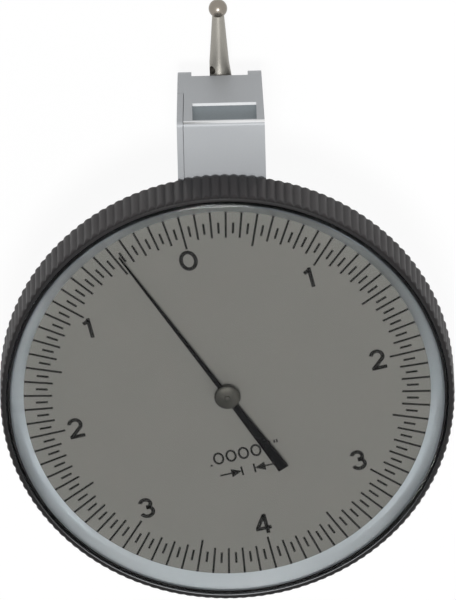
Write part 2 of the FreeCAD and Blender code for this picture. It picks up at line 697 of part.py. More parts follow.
def knurled_prism():
    """Return the coin-edge knurled outside of the bezel, with both end edges turned off."""
    pitch = 360 / KNURL_TEETH
    root = BEZEL_R - KNURL_DEPTH
    outline = []
    for index in range(KNURL_TEETH):
        for share, radius in ((-KNURL_ROOT_SHARE, root), (-KNURL_CREST_SHARE, BEZEL_R),
                              (KNURL_CREST_SHARE, BEZEL_R), (KNURL_ROOT_SHARE, root)):
            outline.append(polar(radius, (index + share) * pitch))
    edge = BEZEL_R - BEZEL_CHAMFER
    blank = turned_z([(0.0, BEZEL_Z), (edge, BEZEL_Z), (BEZEL_R, BEZEL_Z + BEZEL_CHAMFER),
                      (BEZEL_R, BEZEL_TOP_Z - BEZEL_CHAMFER), (edge, BEZEL_TOP_Z), (0.0, BEZEL_TOP_Z)])
    return plate_z(outline, BEZEL_Z, BEZEL_TOP_Z).common(blank)


def bezel_ring():
    """Return the bezel: knurled outside, spring groove, dial ledge and crystal seat inside."""
    bore = CUP_R + BEZEL_BORE_GAP
    ledge_z = DIAL_Z - DIAL_THICKNESS
    ledge_low = ledge_z - LEDGE_THICKNESS
    groove = BODY_DEPTH + SPRING_UP - GROOVE_SIDE_GAP
    groove_top = groove + SPRING_HEIGHT + 2 * GROOVE_SIDE_GAP + 2 * SPRING_FREE
    groove_r = CUP_R + SPRING_DEPTH + GROOVE_ROOT_GAP
    inside = [(0.0, BEZEL_Z - 1), (bore, BEZEL_Z - 1), (bore, groove), (groove_r, groove),
              (groove_r, groove_top), (bore, groove_top),
              (bore, ledge_low), (DIAL_R - LEDGE_WIDTH, ledge_low), (DIAL_R - LEDGE_WIDTH, ledge_z),
              (DIAL_R, ledge_z), (DIAL_R, DIAL_Z), (CRYSTAL_R, DIAL_Z), (CRYSTAL_R, BEZEL_TOP_Z + 1),
              (0.0, BEZEL_TOP_Z + 1)]
    return knurled_prism().cut(turned_z(inside))


def dial_face():
    """Return the dial disc that turns with the bezel."""
    low = DIAL_Z - DIAL_THICKNESS
    return rod_z(DIAL_R, low, DIAL_Z).cut(rod_z(DIAL_HOLE_R, low - 1, DIAL_Z + 1))


def light_ring():
    """Return the bright sloping ring between the dial and the crystal."""
    return turned_z([(RING_INNER_R, DIAL_Z), (CRYSTAL_R, DIAL_Z), (CRYSTAL_R, RING_TOP_Z),
                     (RING_TOP_R, RING_TOP_Z)])


def crystal():
    """Return the low domed crystal, seated on the light ring."""
    base = RING_TOP_Z
    dome_r = (CRYSTAL_R ** 2 + CRYSTAL_RISE ** 2) / (2 * CRYSTAL_RISE)
    centre_z = base + CRYSTAL_EDGE + CRYSTAL_RISE - dome_r
    blank = turned_z([(0.0, base), (CRYSTAL_R, base), (CRYSTAL_R, base + CRYSTAL_EDGE),
                      (CRYSTAL_R - CRYSTAL_CHAMFER, base + CRYSTAL_EDGE + CRYSTAL_CHAMFER),
                      (CRYSTAL_R - CRYSTAL_CHAMFER, base + 3), (0.0, base + 3)])
    outer = Part.makeSphere(dome_r, vec(0, 0, centre_z))
    inner = Part.makeSphere(dome_r - CRYSTAL_THICKNESS, vec(0, 0, centre_z))
    return blank.common(outer).cut(inner)


def pointer_pinion():
    """Return the pointer's pinion, with a space facing the crown wheel's teeth."""
    root = POINTER_PINION_R - DEDENDUM * CROWN_MODULE
    tip = POINTER_PINION_R + ADDENDUM * CROWN_MODULE
    outline = gear_outline(POINTER_TEETH, root, tip, 180 / POINTER_TEETH)
    pinion = plate_z(outline, PINION_Z, PINION_TOP_Z)
    return pinion.cut(rod_z(ARBOR_R, PINION_Z - 1, PINION_TOP_Z + 1))


def pointer_arbor():
    """Return the pointer's arbor, stepped down to its pivots and the hand's seat."""
    shoulder = COCK_Z + COCK_THICKNESS + SHAKE
    top = BRIDGE_Z - SHAKE
    arbor = rod_z(ARBOR_R, shoulder, top)
    lower = rod_z(PIVOT_R, COCK_Z + 2 * SHAKE, shoulder)
    upper = rod_z(ARBOR_R - ARBOR_STEP, top, HAND_Z + HAND_THICKNESS)
    return arbor.fuse([lower, upper])


def hairspring_collet():
    """Return the collet that holds the hairspring's inner end on the arbor."""
    low = CUP_TOP_Z + HAIRSPRING_UP - COLLET_MARGIN
    high = CUP_TOP_Z + HAIRSPRING_UP + HAIRSPRING_HEIGHT + COLLET_MARGIN
    return rod_z(COLLET_R, low, high).cut(rod_z(ARBOR_R, low - 1, high + 1))


def hairspring():
    """Return the flat spiral hairspring between the collet and the stud."""
    grow = (HAIRSPRING_R - COLLET_R) / HAIRSPRING_TURNS
    steps = HAIRSPRING_STEPS * HAIRSPRING_TURNS
    near = []
    far = []
    for step in range(steps + 1):
        turns = HAIRSPRING_TURNS * step / steps
        radius = COLLET_R + grow * turns
        near.append(polar(radius, 360 * turns))
        far.append(polar(radius + HAIRSPRING_STRIP, 360 * turns))
    low = CUP_TOP_Z + HAIRSPRING_UP
    return plate_z(near + far[::-1], low, low + HAIRSPRING_HEIGHT)


def hairspring_stud():
    """Return the stud on the case that the hairspring's outer end is pinned to."""
    high = CUP_TOP_Z + HAIRSPRING_UP + HAIRSPRING_HEIGHT + COLLET_MARGIN
    place = (HAIRSPRING_R + HAIRSPRING_STRIP + STUD_R + STUD_GAP, 0.0)
    return rod_z(STUD_R, CUP_TOP_Z, high, place)


def hand():
    """Return the pointer's hand: a fine tapering blade with a widening square tail."""
    outline = [(-HAND_ROOT_W / 2, 0.0), (-HAND_TIP_W / 2, HAND_LENGTH), (HAND_TIP_W / 2, HAND_LENGTH),
               (HAND_ROOT_W / 2, 0.0), (TAIL_ROOT_W / 2, -HUB_CAP_R), (TAIL_END_W / 2, -HAND_TAIL),
               (-TAIL_END_W / 2, -HAND_TAIL), (-TAIL_ROOT_W / 2, -HUB_CAP_R)]
    blade = plate_z(outline, HAND_Z, HAND_Z + HAND_THICKNESS)
    boss = rod_z(HUB_COLLET_R + HAND_BOSS_WALL, HAND_Z, HAND_Z + HAND_THICKNESS)
    blade = blade.fuse(boss).cut(rod_z(HUB_COLLET_R, HAND_Z - 1, HAND_Z + 1))
    blade.rotate(vec(0, 0, 0), vec(0, 0, 1), HAND_ANGLE)
    return blade


def hand_hub():
    """Return the hand's hub: a collet on the arbor under a low domed cap with a centre pip."""
    slim = ARBOR_R - ARBOR_STEP
    low = HAND_Z - HUB_COLLET_DROP
    cap = HAND_Z + HAND_THICKNESS
    outline = [(slim, low), (HUB_COLLET_R, low), (HUB_COLLET_R, cap), (HUB_CAP_R, cap)]
    for step in range(1, HUB_STEPS):
        radius = HUB_CAP_R + (HUB_PIP_R - HUB_CAP_R) * step / HUB_STEPS
        rise = HUB_CAP_RISE * (1 - (radius / HUB_CAP_R) ** 2) + HUB_EDGE
        outline.append((radius, cap + rise))
    pip = cap + HUB_CAP_RISE + HUB_EDGE
    outline += [(HUB_PIP_R, pip), (HUB_PIP_R / 2, pip + 0.8 * HUB_PIP_RISE), (0.0, pip + HUB_PIP_RISE),
                (0.0, cap), (slim, cap)]
    return turned_z(outline)


def crown_wheel():
    """Return the contrate crown wheel, its teeth pointing back at the pointer's pinion."""
    disc_low, disc_high = CROWN_DISC_X
    rim_in = CROWN_R - CROWN_RIM_WIDTH / 2
    rim_out = CROWN_R + CROWN_RIM_WIDTH / 2
    tooth_tip = POINTER_PINION_R - DEDENDUM * CROWN_MODULE + CROWN_TOOTH_GAP
    outline = shifted(gear_outline(CROWN_TEETH, rim_in, rim_out, 90.0), CROWN_CENTRE)
    teeth = plate_x(outline, tooth_tip, disc_low).cut(rod_x(rim_in, 0, disc_low + 1, CROWN_CENTRE))
    disc = rod_x(rim_out, disc_low, disc_high, CROWN_CENTRE)
    near, far = CROWN_WINDOW_R
    root, wide, narrow = CROWN_WINDOW_DEG
    windows = []
    for index in range(CROWN_ARMS):
        middle = 360 / CROWN_ARMS * index
        corners = [polar(near, middle - root), polar(far, middle - wide), polar(far, middle - narrow),
                   polar(far, middle + narrow), polar(far, middle + wide), polar(near, middle + root)]
        windows.append(plate_x(shifted(corners, CROWN_CENTRE), disc_low - 1, disc_high + 1))
    hub_r, hub_left, hub_right = CROWN_HUB
    hub = rod_x(hub_r, disc_low - hub_left, disc_high + hub_right, CROWN_CENTRE)
    wheel = disc.cut(windows).fuse([hub, teeth])
    return wheel.cut(rod_x(ARBOR_R, disc_low - 2, disc_high + 2, CROWN_CENTRE))


def crown_pinion():
    """Return the crown arbor's pinion, with a space facing the sector's middle tooth."""
    root = CROWN_PINION_R - DEDENDUM * SECTOR_MODULE
    tip = CROWN_PINION_R + ADDENDUM * SECTOR_MODULE
    towards = math.degrees(math.atan2(SECTOR_CENTRE[1] - CROWN_UP, SECTOR_CENTRE[0]))
    outline = gear_outline(CROWN_PINION_TEETH, root, tip, towards + 180 / CROWN_PINION_TEETH)
    pinion = plate_x(shifted(outline, CROWN_CENTRE), *CROWN_PINION_X)
    return pinion.cut(rod_x(ARBOR_R, PLATE_LEFT_X, 0, CROWN_CENTRE))


def sector_gear():
    """Return the toothed sector that drives the crown arbor's pinion."""
    root = SECTOR_R - DEDENDUM * SECTOR_MODULE
    tip = SECTOR_R + ADDENDUM * SECTOR_MODULE
    towards = math.degrees(math.atan2(CROWN_UP - SECTOR_CENTRE[1], -SECTOR_CENTRE[0]))
    teeth = gear_outline(SECTOR_TEETH, root, tip, towards, -SECTOR_HALF_TEETH, 2 * SECTOR_HALF_TEETH + 1)
    rim = [polar(SECTOR_HUB_R, towards - 90)] + teeth + [polar(SECTOR_HUB_R, towards + 90)]
    web = plate_x(shifted(rim, SECTOR_CENTRE), *SECTOR_X).fuse(rod_x(SECTOR_HUB_R, *SECTOR_X, SECTOR_CENTRE))
    near_deg, far_deg = SECTOR_WINDOW_DEG
    far = root - SECTOR_WINDOW_WALL
    opening = [polar(SECTOR_WINDOW_R, towards - near_deg), polar(far, towards - far_deg),
               polar(far, towards + far_deg), polar(SECTOR_WINDOW_R, towards + near_deg)]
    window = plate_x(shifted(opening, SECTOR_CENTRE), SECTOR_X[0] - 1, SECTOR_X[1] + 1)
    return web.cut([window, rod_x(ARBOR_R, PLATE_LEFT_X, 0, SECTOR_CENTRE)])


def sector_rocker():
    """Return the two-sided rocker on the sector arbor that the reversing pins push."""
    front = LEVER_SPAN - FRONT_PIN_REACH - ROCKER_OVERHANG
    rear = LEVER_SPAN + REAR_PIN_REACH + ROCKER_OVERHANG
    outline = [on_lever(front, ROCKER_HALF), on_lever(front, -ROCKER_HALF), on_lever(rear, -ROCKER_HALF),
               on_lever(rear, ROCKER_HALF)]
    rocker = plate_x(outline, *ROCKER_X).fuse(rod_x(ROCKER_HUB_R, *ROCKER_X, SECTOR_CENTRE))
    return rocker.cut(rod_x(ARBOR_R, PLATE_LEFT_X, 0, SECTOR_CENTRE))


def measuring_lever():
    """Return the lever: a fork round the stylus hub and an arm that reaches past the sector."""
    inner = STYLUS_HUB_WIDTH / 2 + WASHER_THICKNESS
    outer = inner + FORK_PLATE
    web_back = SLOT_BACK - FORK_SLOT_GAP
    web_front = web_back - FORK_WEB
    half = FORK_ARM_HALF
    web = plate_x([on_lever(web_front, half), on_lever(web_back, half), on_lever(web_back, -half),
                   on_lever(web_front, -half)], -outer, outer)
    cheeks = []
    for x_low, x_high in ((-outer, -inner), (inner, outer)):
        cheeks.append(rod_x(FORK_R, x_low, x_high, PIVOT))
        cheeks.append(plate_x([on_lever(0, half), on_lever(web_back, half), on_lever(web_back, -half),
                               on_lever(0, -half)], x_low, x_high))
    eye = ARM_EYE_R + ARM_EYE_WALL
    front = LEVER_SPAN - FRONT_PIN_REACH
    rear = LEVER_SPAN + REAR_PIN_REACH
    pin_rise = ROCKER_HALF + CONTACT_GAP + 2 * REVERSING_PIN_R + REVERSING_PIN_WALL
    tail = rear + ROCKER_OVERHANG
    rise, near, far = ARM_FRONT_BOSS
    fall, back, foot = ARM_REAR_BOSS
    top, low, slope = ARM_EYE_STEPS
    outline = [on_lever(web_front, ARM_HALF), on_lever(front - rise, ARM_HALF),
               on_lever(front - near, pin_rise), on_lever(front + far, pin_rise),
               on_lever(LEVER_SPAN - top, eye), on_lever(LEVER_SPAN + top, eye),
               on_lever(rear - fall, ARM_HALF), on_lever(tail, ARM_HALF),
               on_lever(tail, -pin_rise), on_lever(rear - back, -pin_rise),
               on_lever(rear - foot, -ARM_HALF), on_lever(LEVER_SPAN + low, -eye),
               on_lever(LEVER_SPAN - low, -eye), on_lever(LEVER_SPAN - slope, -ARM_HALF),
               on_lever(web_front, -ARM_HALF)]
    arm = plate_x(outline, *ARM_X)
    lever = web.fuse(cheeks + [arm])
    cuts = [rod_x(ARM_EYE_R, ARM_X[0] - 1, ARM_X[1] + 1, SECTOR_CENTRE),
            rod_x(HUB_PIN_R, -outer - 1, outer + 1, PIVOT)]
    for centre in reversing_pin_places():
        cuts.append(rod_x(REVERSING_PIN_R, ARM_X[0] - 1, ARM_X[1] + 1, centre))
    return lever.cut(cuts)


def reversing_pin_places():
    """Return the centres of the front and rear reversing pins."""
    rise = ROCKER_HALF + CONTACT_GAP + REVERSING_PIN_R
    return [on_lever(LEVER_SPAN - FRONT_PIN_REACH, rise), on_lever(LEVER_SPAN + REAR_PIN_REACH, -rise)]


def reversing_pins():
    """Return the two pins that push the rocker, whichever way the stylus moves."""
    return Part.makeCompound([rod_x(REVERSING_PIN_R, ROCKER_X[0], ARM_X[1], centre)
                              for centre in reversing_pin_places()])


def hub_pin():
    """Return the pin through the fork, with a cone seat in each end for the pivot screws."""
    outer = STYLUS_HUB_WIDTH / 2 + WASHER_THICKNESS + FORK_PLATE
    inner = CHEEK_GAP / 2
    pin = rod_x(HUB_PIN_R, -outer, outer, PIVOT)
    seats = []
    for sign in (-1, 1):
        mouth = vec(sign * inner, *PIVOT)
        seats.append(Part.makeCone(PIVOT_CONE_R + PIN_FIT, PIVOT_CONE_TIP_R + PIN_FIT,
                                   PIVOT_CONE_LENGTH + PIN_FIT, mouth, vec(-sign, 0, 0)))
    return pin.cut(seats)


def friction_washers():
    """Return the two spring washers that hold the stylus hub by friction."""
    inner = STYLUS_HUB_WIDTH / 2
    washers = []
    for x_low in (-inner - WASHER_THICKNESS, inner):
        washer = rod_x(WASHER_R, x_low, x_low + WASHER_THICKNESS, PIVOT)
        washers.append(washer.cut(rod_x(HUB_PIN_R, x_low - 1, x_low + 1, PIVOT)))
    return Part.makeCompound(washers)


def stylus_hub():
    """Return the round hub that the stylus is screwed into."""
    half = STYLUS_HUB_WIDTH / 2
    hub = rod_x(STYLUS_HUB_R, -half, half, PIVOT)
    seat = Part.makeCylinder(SHANK_TIP_R, STYLUS_HUB_R, vec(0, *PIVOT), vec(0, 1, 0))
    return hub.cut([rod_x(HUB_PIN_R + PIN_FIT, -half - 1, half + 1, PIVOT), seat])


def stylus_shank():
    """Return the stylus shank: root, flared collar with a flat and a key hole, long taper."""
    thread_start = HUB_PIN_R + PIN_FIT + ROOT_GAP
    flat = math.sqrt(STYLUS_HUB_R ** 2 - FLARE_R ** 2)
    ball_seat = STYLUS_LENGTH - math.sqrt(BALL_R ** 2 - SHANK_TIP_R ** 2)
    outline = [(thread_start, 0.0), (thread_start, SHANK_TIP_R), (flat, SHANK_TIP_R), (flat, FLARE_R),
               (STYLUS_HUB_R + FLARE_COLLAR, FLARE_R), (FLARE_END, SHANK_ROOT_R), (ball_seat, SHANK_TIP_R),
               (ball_seat, 0.0)]
    shank = turned_y(outline, PIVOT)
    hub_room = rod_x(STYLUS_HUB_R, -CHEEK_GAP / 2, CHEEK_GAP / 2, PIVOT)
    hub_room = hub_room.cut(Part.makeCylinder(SHANK_TIP_R, STYLUS_HUB_R + 1, vec(0, *PIVOT), vec(0, 1, 0)))
    side = block((-FLARE_R - 1, -FLARE_FLAT), (PIVOT[0] + flat, PIVOT[0] + FLARE_END),
                 (PIVOT[1] - FLARE_R, PIVOT[1] + FLARE_R))
    reach = FLARE_R * math.sqrt(2)
    key_hole = Part.makeCylinder(KEY_HOLE_R, 2 * reach, vec(reach / math.sqrt(2), PIVOT[0] + KEY_HOLE_AT,
                                 PIVOT[1] - reach / math.sqrt(2)), vec(-1, 0, 1))
    return shank.cut([hub_room, stylus_ball(), side, key_hole])


def stylus_ball():
    """Return the hard ball on the stylus."""
    return Part.makeSphere(BALL_R, vec(0, PIVOT[0] + STYLUS_LENGTH, PIVOT[1]))


def all_pieces():
    """Return every piece under its node name."""
    return {
        "housing": housing(),
        "side_cover": side_cover(),
        "cover_screws": cover_screws(),
        "movement_plate": movement_plate(),
        "train_jewels": train_jewels(),
        "pivot_screws": pivot_screws(),
        "bearing_cock": bearing_cock(),
        "cock_screws": cock_screws(),
        "lower_jewel": jewel_z(COCK_Z + SHAKE, PIVOT_R),
        "upper_jewel": jewel_z(BRIDGE_Z + 2 * SHAKE, ARBOR_R - ARBOR_STEP),
        "case_cup": case_cup(),
        "cup_screws": screws_down(CUP_SCREW, CUP_BASE + SKIN - CUP_SCREW_SHORT, CUP_TOP_Z, cup_screw_places()),
        "upper_bridge": upper_bridge(),
        "bridge_screws": bridge_screws(),
        "bezel_spring": ring_spring(),
        "hairspring_stud": hairspring_stud(),
        "bezel_ring": bezel_ring(),
        "dial_face": dial_face(),
        "light_ring": light_ring(),
        "crystal": crystal(),
        "pointer_arbor": pointer_arbor(),
        "pointer_pinion": pointer_pinion(),
        "hairspring_collet": hairspring_collet(),
        "hairspring": hairspring(),
        "hand": hand(),
        "hand_hub": hand_hub(),
        "crown_arbor": arbor_x(CROWN_CENTRE),
        "crown_wheel": crown_wheel(),
        "crown_pinion": crown_pinion(),
        "sector_arbor": arbor_x(SECTOR_CENTRE),
        "sector_gear": sector_gear(),
        "sector_rocker": sector_rocker(),
        "measuring_lever": measuring_lever(),
        "reversing_pins": reversing_pins(),
        "hub_pin": hub_pin(),
        "friction_washers": friction_washers(),
        "stylus_hub": stylus_hub(),
        "stylus_shank": stylus_shank(),
        "stylus_ball": stylus_ball(),
    }


def main():
    """Write one file for each piece."""
    os.makedirs("parts", exist_ok=True)
    for name, shape in all_pieces().items():
        shape.exportStep(f"parts/{name}.step")
    lever_share = 1 / (LEVER_RATIO * GEAR_RATIO)
    print("pivot", PIVOT, "sector", SECTOR_CENTRE, "span", LEVER_SPAN, "lever ratio", LEVER_RATIO)
    print("lever per pointer turn", lever_share, "dial", DIAL_Z, "top", BEZEL_TOP_Z)


main()
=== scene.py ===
"""Dresses a dial test indicator: its finishes, its printed dial, its soft studio and its camera.

The solids come packed as a fixed frame. Pieces that the eye dwells on are made again here, smoother and
finer, in the same place, and every other solid keeps its shape and gets its finish.
"""

import logging
import math
from dataclasses import dataclass
from enum import Enum

import bmesh
import bpy
from mathutils import Matrix, Vector


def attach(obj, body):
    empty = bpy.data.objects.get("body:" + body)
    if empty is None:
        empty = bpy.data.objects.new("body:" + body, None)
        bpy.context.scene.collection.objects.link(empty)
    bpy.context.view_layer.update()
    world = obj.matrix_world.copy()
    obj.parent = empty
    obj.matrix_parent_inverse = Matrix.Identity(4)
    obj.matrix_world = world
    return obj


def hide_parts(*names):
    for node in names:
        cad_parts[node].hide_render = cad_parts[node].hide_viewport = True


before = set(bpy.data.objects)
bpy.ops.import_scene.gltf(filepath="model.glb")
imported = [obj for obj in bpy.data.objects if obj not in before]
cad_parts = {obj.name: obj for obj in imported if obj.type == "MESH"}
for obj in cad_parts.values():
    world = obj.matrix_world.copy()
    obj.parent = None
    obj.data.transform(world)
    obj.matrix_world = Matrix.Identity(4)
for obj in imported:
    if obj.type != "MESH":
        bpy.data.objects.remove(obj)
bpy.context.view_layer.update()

log = logging.getLogger("indicator")
MM = 0.001
FULL_TURN = 2 * math.pi
Point2 = tuple[float, float]
Point3 = tuple[float, float, float]

# The picture's height in pixels.
PICTURE_HEIGHT = 600
# Corners nearer than the first are one, and an edge shorter than the second has no length, in millimetres.
MERGE_MM = 0.0005
NO_LENGTH_MM = 0.0001
# Faces of a solid that turn less than this make one flat face.
FLAT_DEG = 0.05
# Edges of a solid that turn more than this stay sharp.
SOLID_CREASE_DEG = 28.0
# How far large faces lead a solid's shading, where 50 is neutral.
LARGE_FACE_WEIGHT = 90
# A face looks along an axis if its normal has at least this share along it.
FACING = 0.9
# Height of the enamel's face, which carries the print and the light ring.
DIAL_Z = 15.88
# The roughness goes from its least to its greatest while the cloud goes through the first range, and the tone
# from its first to its second while grain times cloud goes through the other.
CLOUD_RANGE = (0.3, 0.7)
BLEND_RANGE = (0.1, 0.42)
# The share of its fineness that a drawn-out grain keeps along the body.
DRAWN_OUT = 0.06
# The angle between two points of a printed curve, at most.
CURVE_STEP_DEG = 12


def linear(hex_colour: str, alpha: float = 1.0) -> tuple[float, float, float, float]:
    """Turns an sRGB hex colour into linear light.

    Args:
        hex_colour: six hex digits after a hash sign.
        alpha: the fourth value of the result.

    Returns:
        Red, green, blue and alpha.
    """
    parts = [int(hex_colour[i:i + 2], 16) / 255 for i in (1, 3, 5)]
    light = [c / 12.92 if c <= 0.04045 else ((c + 0.055) / 1.055) ** 2.4 for c in parts]
    return light[0], light[1], light[2], alpha


def add_node(tree: bpy.types.NodeTree, kind: str, inputs: dict | None = None, **settings) -> bpy.types.Node:
    """Adds one node, sets it up and links what is given as a socket.

    Args:
        tree: the node tree that gets the node.
        kind: the node's type name.
        inputs: values or output sockets by input name or number.
        settings: the node's own properties.

    Returns:
        The new node.
    """
    node = tree.nodes.new(kind)
    for name, value in settings.items():
        setattr(node, name, value)
    for name, value in (inputs or {}).items():
        if isinstance(value, bpy.types.NodeSocket):
            tree.links.new(value, node.inputs[name])
        else:
            node.inputs[name].default_value = value
    return node


class Grain(Enum):
    """How a surface's fine marks run."""

    EVEN = "even in all directions"
    ALONG_Y = "drawn out along the body"
    TURNED = "rings round the dial's axis"


@dataclass(frozen=True)
class Finish:
    """A surface finish: two tones, a gloss and a fine relief.

    The gloss is the least and the greatest roughness. Relief and tones follow the object's own coordinates,
    at real sizes.
    """

    name: str
    slot: str
    tone: str
    second_tone: str
    metallic: float
    gloss: Point2
    grain_mm: float
    relief_mm: float
    grain: Grain = Grain.EVEN
    cloud_mm: float = 6.0
    specular: float = 0.5

    def pattern(self, tree: bpy.types.NodeTree) -> tuple[bpy.types.NodeSocket, bpy.types.NodeSocket]:
        """Makes the fine grain and the broad cloudiness.

        Args:
            tree: the material's node tree.

        Returns:
            The grain and the cloud sockets, each about 0 to 1.
        """
        place = add_node(tree, "ShaderNodeTexCoord")
        stretch = (1, DRAWN_OUT, 1) if self.grain is Grain.ALONG_Y else (1, 1, 1)
        scale = [s / (self.grain_mm * MM) for s in stretch]
        fine_place = add_node(tree, "ShaderNodeMapping", {"Vector": place.outputs["Object"], "Scale": scale})
        if self.grain is Grain.TURNED:
            fine = add_node(tree, "ShaderNodeTexWave", {
                "Vector": fine_place.outputs["Vector"], "Scale": 0.5, "Distortion": 1.2, "Detail": 2.0},
                wave_type="RINGS", rings_direction="Z")
        else:
            fine = add_node(tree, "ShaderNodeTexNoise", {
                "Vector": fine_place.outputs["Vector"], "Scale": 1.0, "Detail": 3.0, "Roughness": 0.6})
        cloud_place = add_node(tree, "ShaderNodeMapping", {
            "Vector": place.outputs["Object"], "Scale": [1 / (self.cloud_mm * MM)] * 3})
        cloud = add_node(tree, "ShaderNodeTexNoise", {
            "Vector": cloud_place.outputs["Vector"], "Scale": 1.0, "Detail": 4.0, "Roughness": 0.55})
        return fine.outputs["Fac"], cloud.outputs["Fac"]

    def colour(self, tree: bpy.types.NodeTree, fine: bpy.types.NodeSocket,
               cloud: bpy.types.NodeSocket) -> bpy.types.NodeSocket:
        """Blends the two tones by grain and cloud.

        Args:
            tree: the material's node tree.
            fine: the grain.
            cloud: the broad cloudiness.

        Returns:
            The colour socket.
        """
        blend = add_node(tree, "ShaderNodeMath", {0: fine, 1: cloud}, operation="MULTIPLY")
        share = add_node(tree, "ShaderNodeMapRange", {
            "Value": blend.outputs["Value"], "From Min": BLEND_RANGE[0], "From Max": BLEND_RANGE[1]})
        mixed = add_node(tree, "ShaderNodeMix", {
            "Factor": share.outputs["Result"], "A": linear(self.tone), "B": linear(self.second_tone)},
            data_type="RGBA")
        return mixed.outputs["Result"]

    def own_inputs(self) -> dict[str, float]:
        """Gives the shader inputs that belong to this kind of finish."""
        return {"Metallic": self.metallic}

    def material(self) -> bpy.types.Material:
        """Builds the node material, once for each finish."""
        made = bpy.data.materials.get(self.name)
        if made:
            return made
        made = bpy.data.materials.new(self.name)
        made.use_nodes = True
        tree = made.node_tree
        tree.nodes.clear()
        fine, cloud = self.pattern(tree)
        gloss = add_node(tree, "ShaderNodeMapRange", {
            "Value": cloud, "From Min": CLOUD_RANGE[0], "From Max": CLOUD_RANGE[1],
            "To Min": self.gloss[0], "To Max": self.gloss[1]})
        relief = add_node(tree, "ShaderNodeBump", {
            "Height": fine, "Distance": self.relief_mm * MM, "Strength": 1.0})
        shader = add_node(tree, "ShaderNodeBsdfPrincipled", {
            "Base Color": self.colour(tree, fine, cloud), "Roughness": gloss.outputs["Result"],
            "Normal": relief.outputs["Normal"], "Specular IOR Level": self.specular, **self.own_inputs()})
        add_node(tree, "ShaderNodeOutputMaterial", {"Surface": shader.outputs["BSDF"]})
        return made


@dataclass(frozen=True)
class WornFinish(Finish):
    """A coating that is rubbed through on what stands furthest from the dial's axis."""

    worn_tone: str = "#413D3E"
    worn_from_mm: float = 18.86
    worn_to_mm: float = 18.98

    def colour(self, tree: bpy.types.NodeTree, fine: bpy.types.NodeSocket,
               cloud: bpy.types.NodeSocket) -> bpy.types.NodeSocket:
        """Adds the rubbed tone to the coating on the crests of the knurl.

        Args:
            tree: the material's node tree.
            fine: the grain.
            cloud: the broad cloudiness.

        Returns:
            The colour socket.
        """
        coating = super().colour(tree, fine, cloud)
        place = add_node(tree, "ShaderNodeTexCoord")
        flat = add_node(tree, "ShaderNodeVectorMath", {0: place.outputs["Object"], 1: (1.0, 1.0, 0.0)},
                        operation="MULTIPLY")
        reach = add_node(tree, "ShaderNodeVectorMath", {0: flat.outputs["Vector"]}, operation="LENGTH")
        crest = add_node(tree, "ShaderNodeMapRange", {
            "Value": reach.outputs["Value"], "From Min": self.worn_from_mm * MM,
            "From Max": self.worn_to_mm * MM})
        rubbed = add_node(tree, "ShaderNodeMath", {
            0: crest.outputs["Result"], 1: cloud}, operation="MULTIPLY")
        mixed = add_node(tree, "ShaderNodeMix", {
            "Factor": rubbed.outputs["Value"], "A": coating, "B": linear(self.worn_tone)}, data_type="RGBA")
        return mixed.outputs["Result"]


@dataclass(frozen=True)
class ClearFinish(Finish):
    """A clear material that light goes through, with a faint haze in its gloss."""

    ior: float = 1.15

    def own_inputs(self) -> dict[str, float]:
        """Gives the shader inputs that let light through."""
        return {**super().own_inputs(), "Transmission Weight": 1.0, "IOR": self.ior}


# Chrome plate over a fine blasted surface: an even silky grey with no sharp reflections.
SATIN_CHROME = Finish("satin_chrome_plate", "satin_chrome", "#B0B3B6", "#B8BBBE", 0.2, (0.48, 0.56), 0.09,
                      0.0012, cloud_mm=9.0)
# Painted shade on the face of the nose's recess: a darker tone stands in for the shade and dim reflections
# there, with a coarser milled grain drawn out along the body.
RECESS_PAINTED_SHADE = Finish("recess_painted_shade", "satin_chrome", "#858D91", "#8C9498", 0.35, (0.5, 0.6), 0.12,
                     0.002, Grain.ALONG_Y)
# Painted highlights on the edges of the nose, at the recess's foot and at the brow: a near-white matt tone
# stands in for two bright lines of reflected light.
PAINTED_HIGHLIGHT_EDGE = Finish("nose_edge_painted_highlight", "satin_chrome", "#F8FAFB", "#FFFFFF", 0.0, (0.22, 0.28), 0.12,
                        0.0004)
# Chrome plate on the turned dial case: a little darker, with faint rings left by the lathe.
TURNED_CHROME = Finish("turned_chrome_plate", "satin_chrome", "#A3A6A9", "#ADB0B3", 0.5, (0.36, 0.44), 0.12,
                       0.0008, Grain.TURNED)
# Dark oxide on knurled steel: almost black in the grooves, greyer where fingers rub the crests.
DARK_OXIDE = WornFinish("rubbed_dark_oxide", "dark_bezel", "#0C0B0C", "#161415", 0.0, (0.42, 0.55), 0.10,
                        0.0015, cloud_mm=2.2, specular=0.22)
# The bezel's inner lip, where the oxide is gone and the steel is polished: a thin line of light.
BARE_LIP = Finish("rubbed_bezel_lip", "dark_bezel", "#A4A6A8", "#B0B2B4", 1.0, (0.16, 0.22), 0.1, 0.0003)
# Matt baked enamel on the dial: warm grey, flat, with a barely seen tooth.
DIAL_ENAMEL = Finish("matt_dial_enamel", "dial_grey", "#6F6E69", "#74736E", 0.0, (0.62, 0.74), 0.16, 0.0008,
                     cloud_mm=4.0, specular=0.25)
# Printing ink on the enamel: black and dull.
DIAL_INK = Finish("dial_printing_ink", "black_hand", "#100F0E", "#171615", 0.0, (0.55, 0.7), 0.12, 0.0006,
                  specular=0.12)
# Satin bright ring: it throws the room's light back at the foot of the dial and is dim at its head.
LIGHT_RING = Finish("satin_bright_ring", "white_ring", "#AEB3B6", "#B4B9BC", 1.0, (0.28, 0.36), 0.2, 0.0006,
                    cloud_mm=5.0, specular=0.4)
# Polished acrylic of the crystal: hardly a reflection on it. It bends light less than real acrylic does, so
# that the print below stays deep black.
ACRYLIC = ClearFinish("polished_acrylic", "clear_crystal", "#FBFDFD", "#FFFFFF", 0.0, (0.0, 0.02), 2.0,
                      0.0001, specular=0.05)
# Black lacquer on the thin hand: deep, with a soft sheen.
HAND_LACQUER = Finish("black_hand_lacquer", "black_hand", "#040405", "#070708", 0.0, (0.5, 0.6), 0.1, 0.0008,
                      specular=0.03)
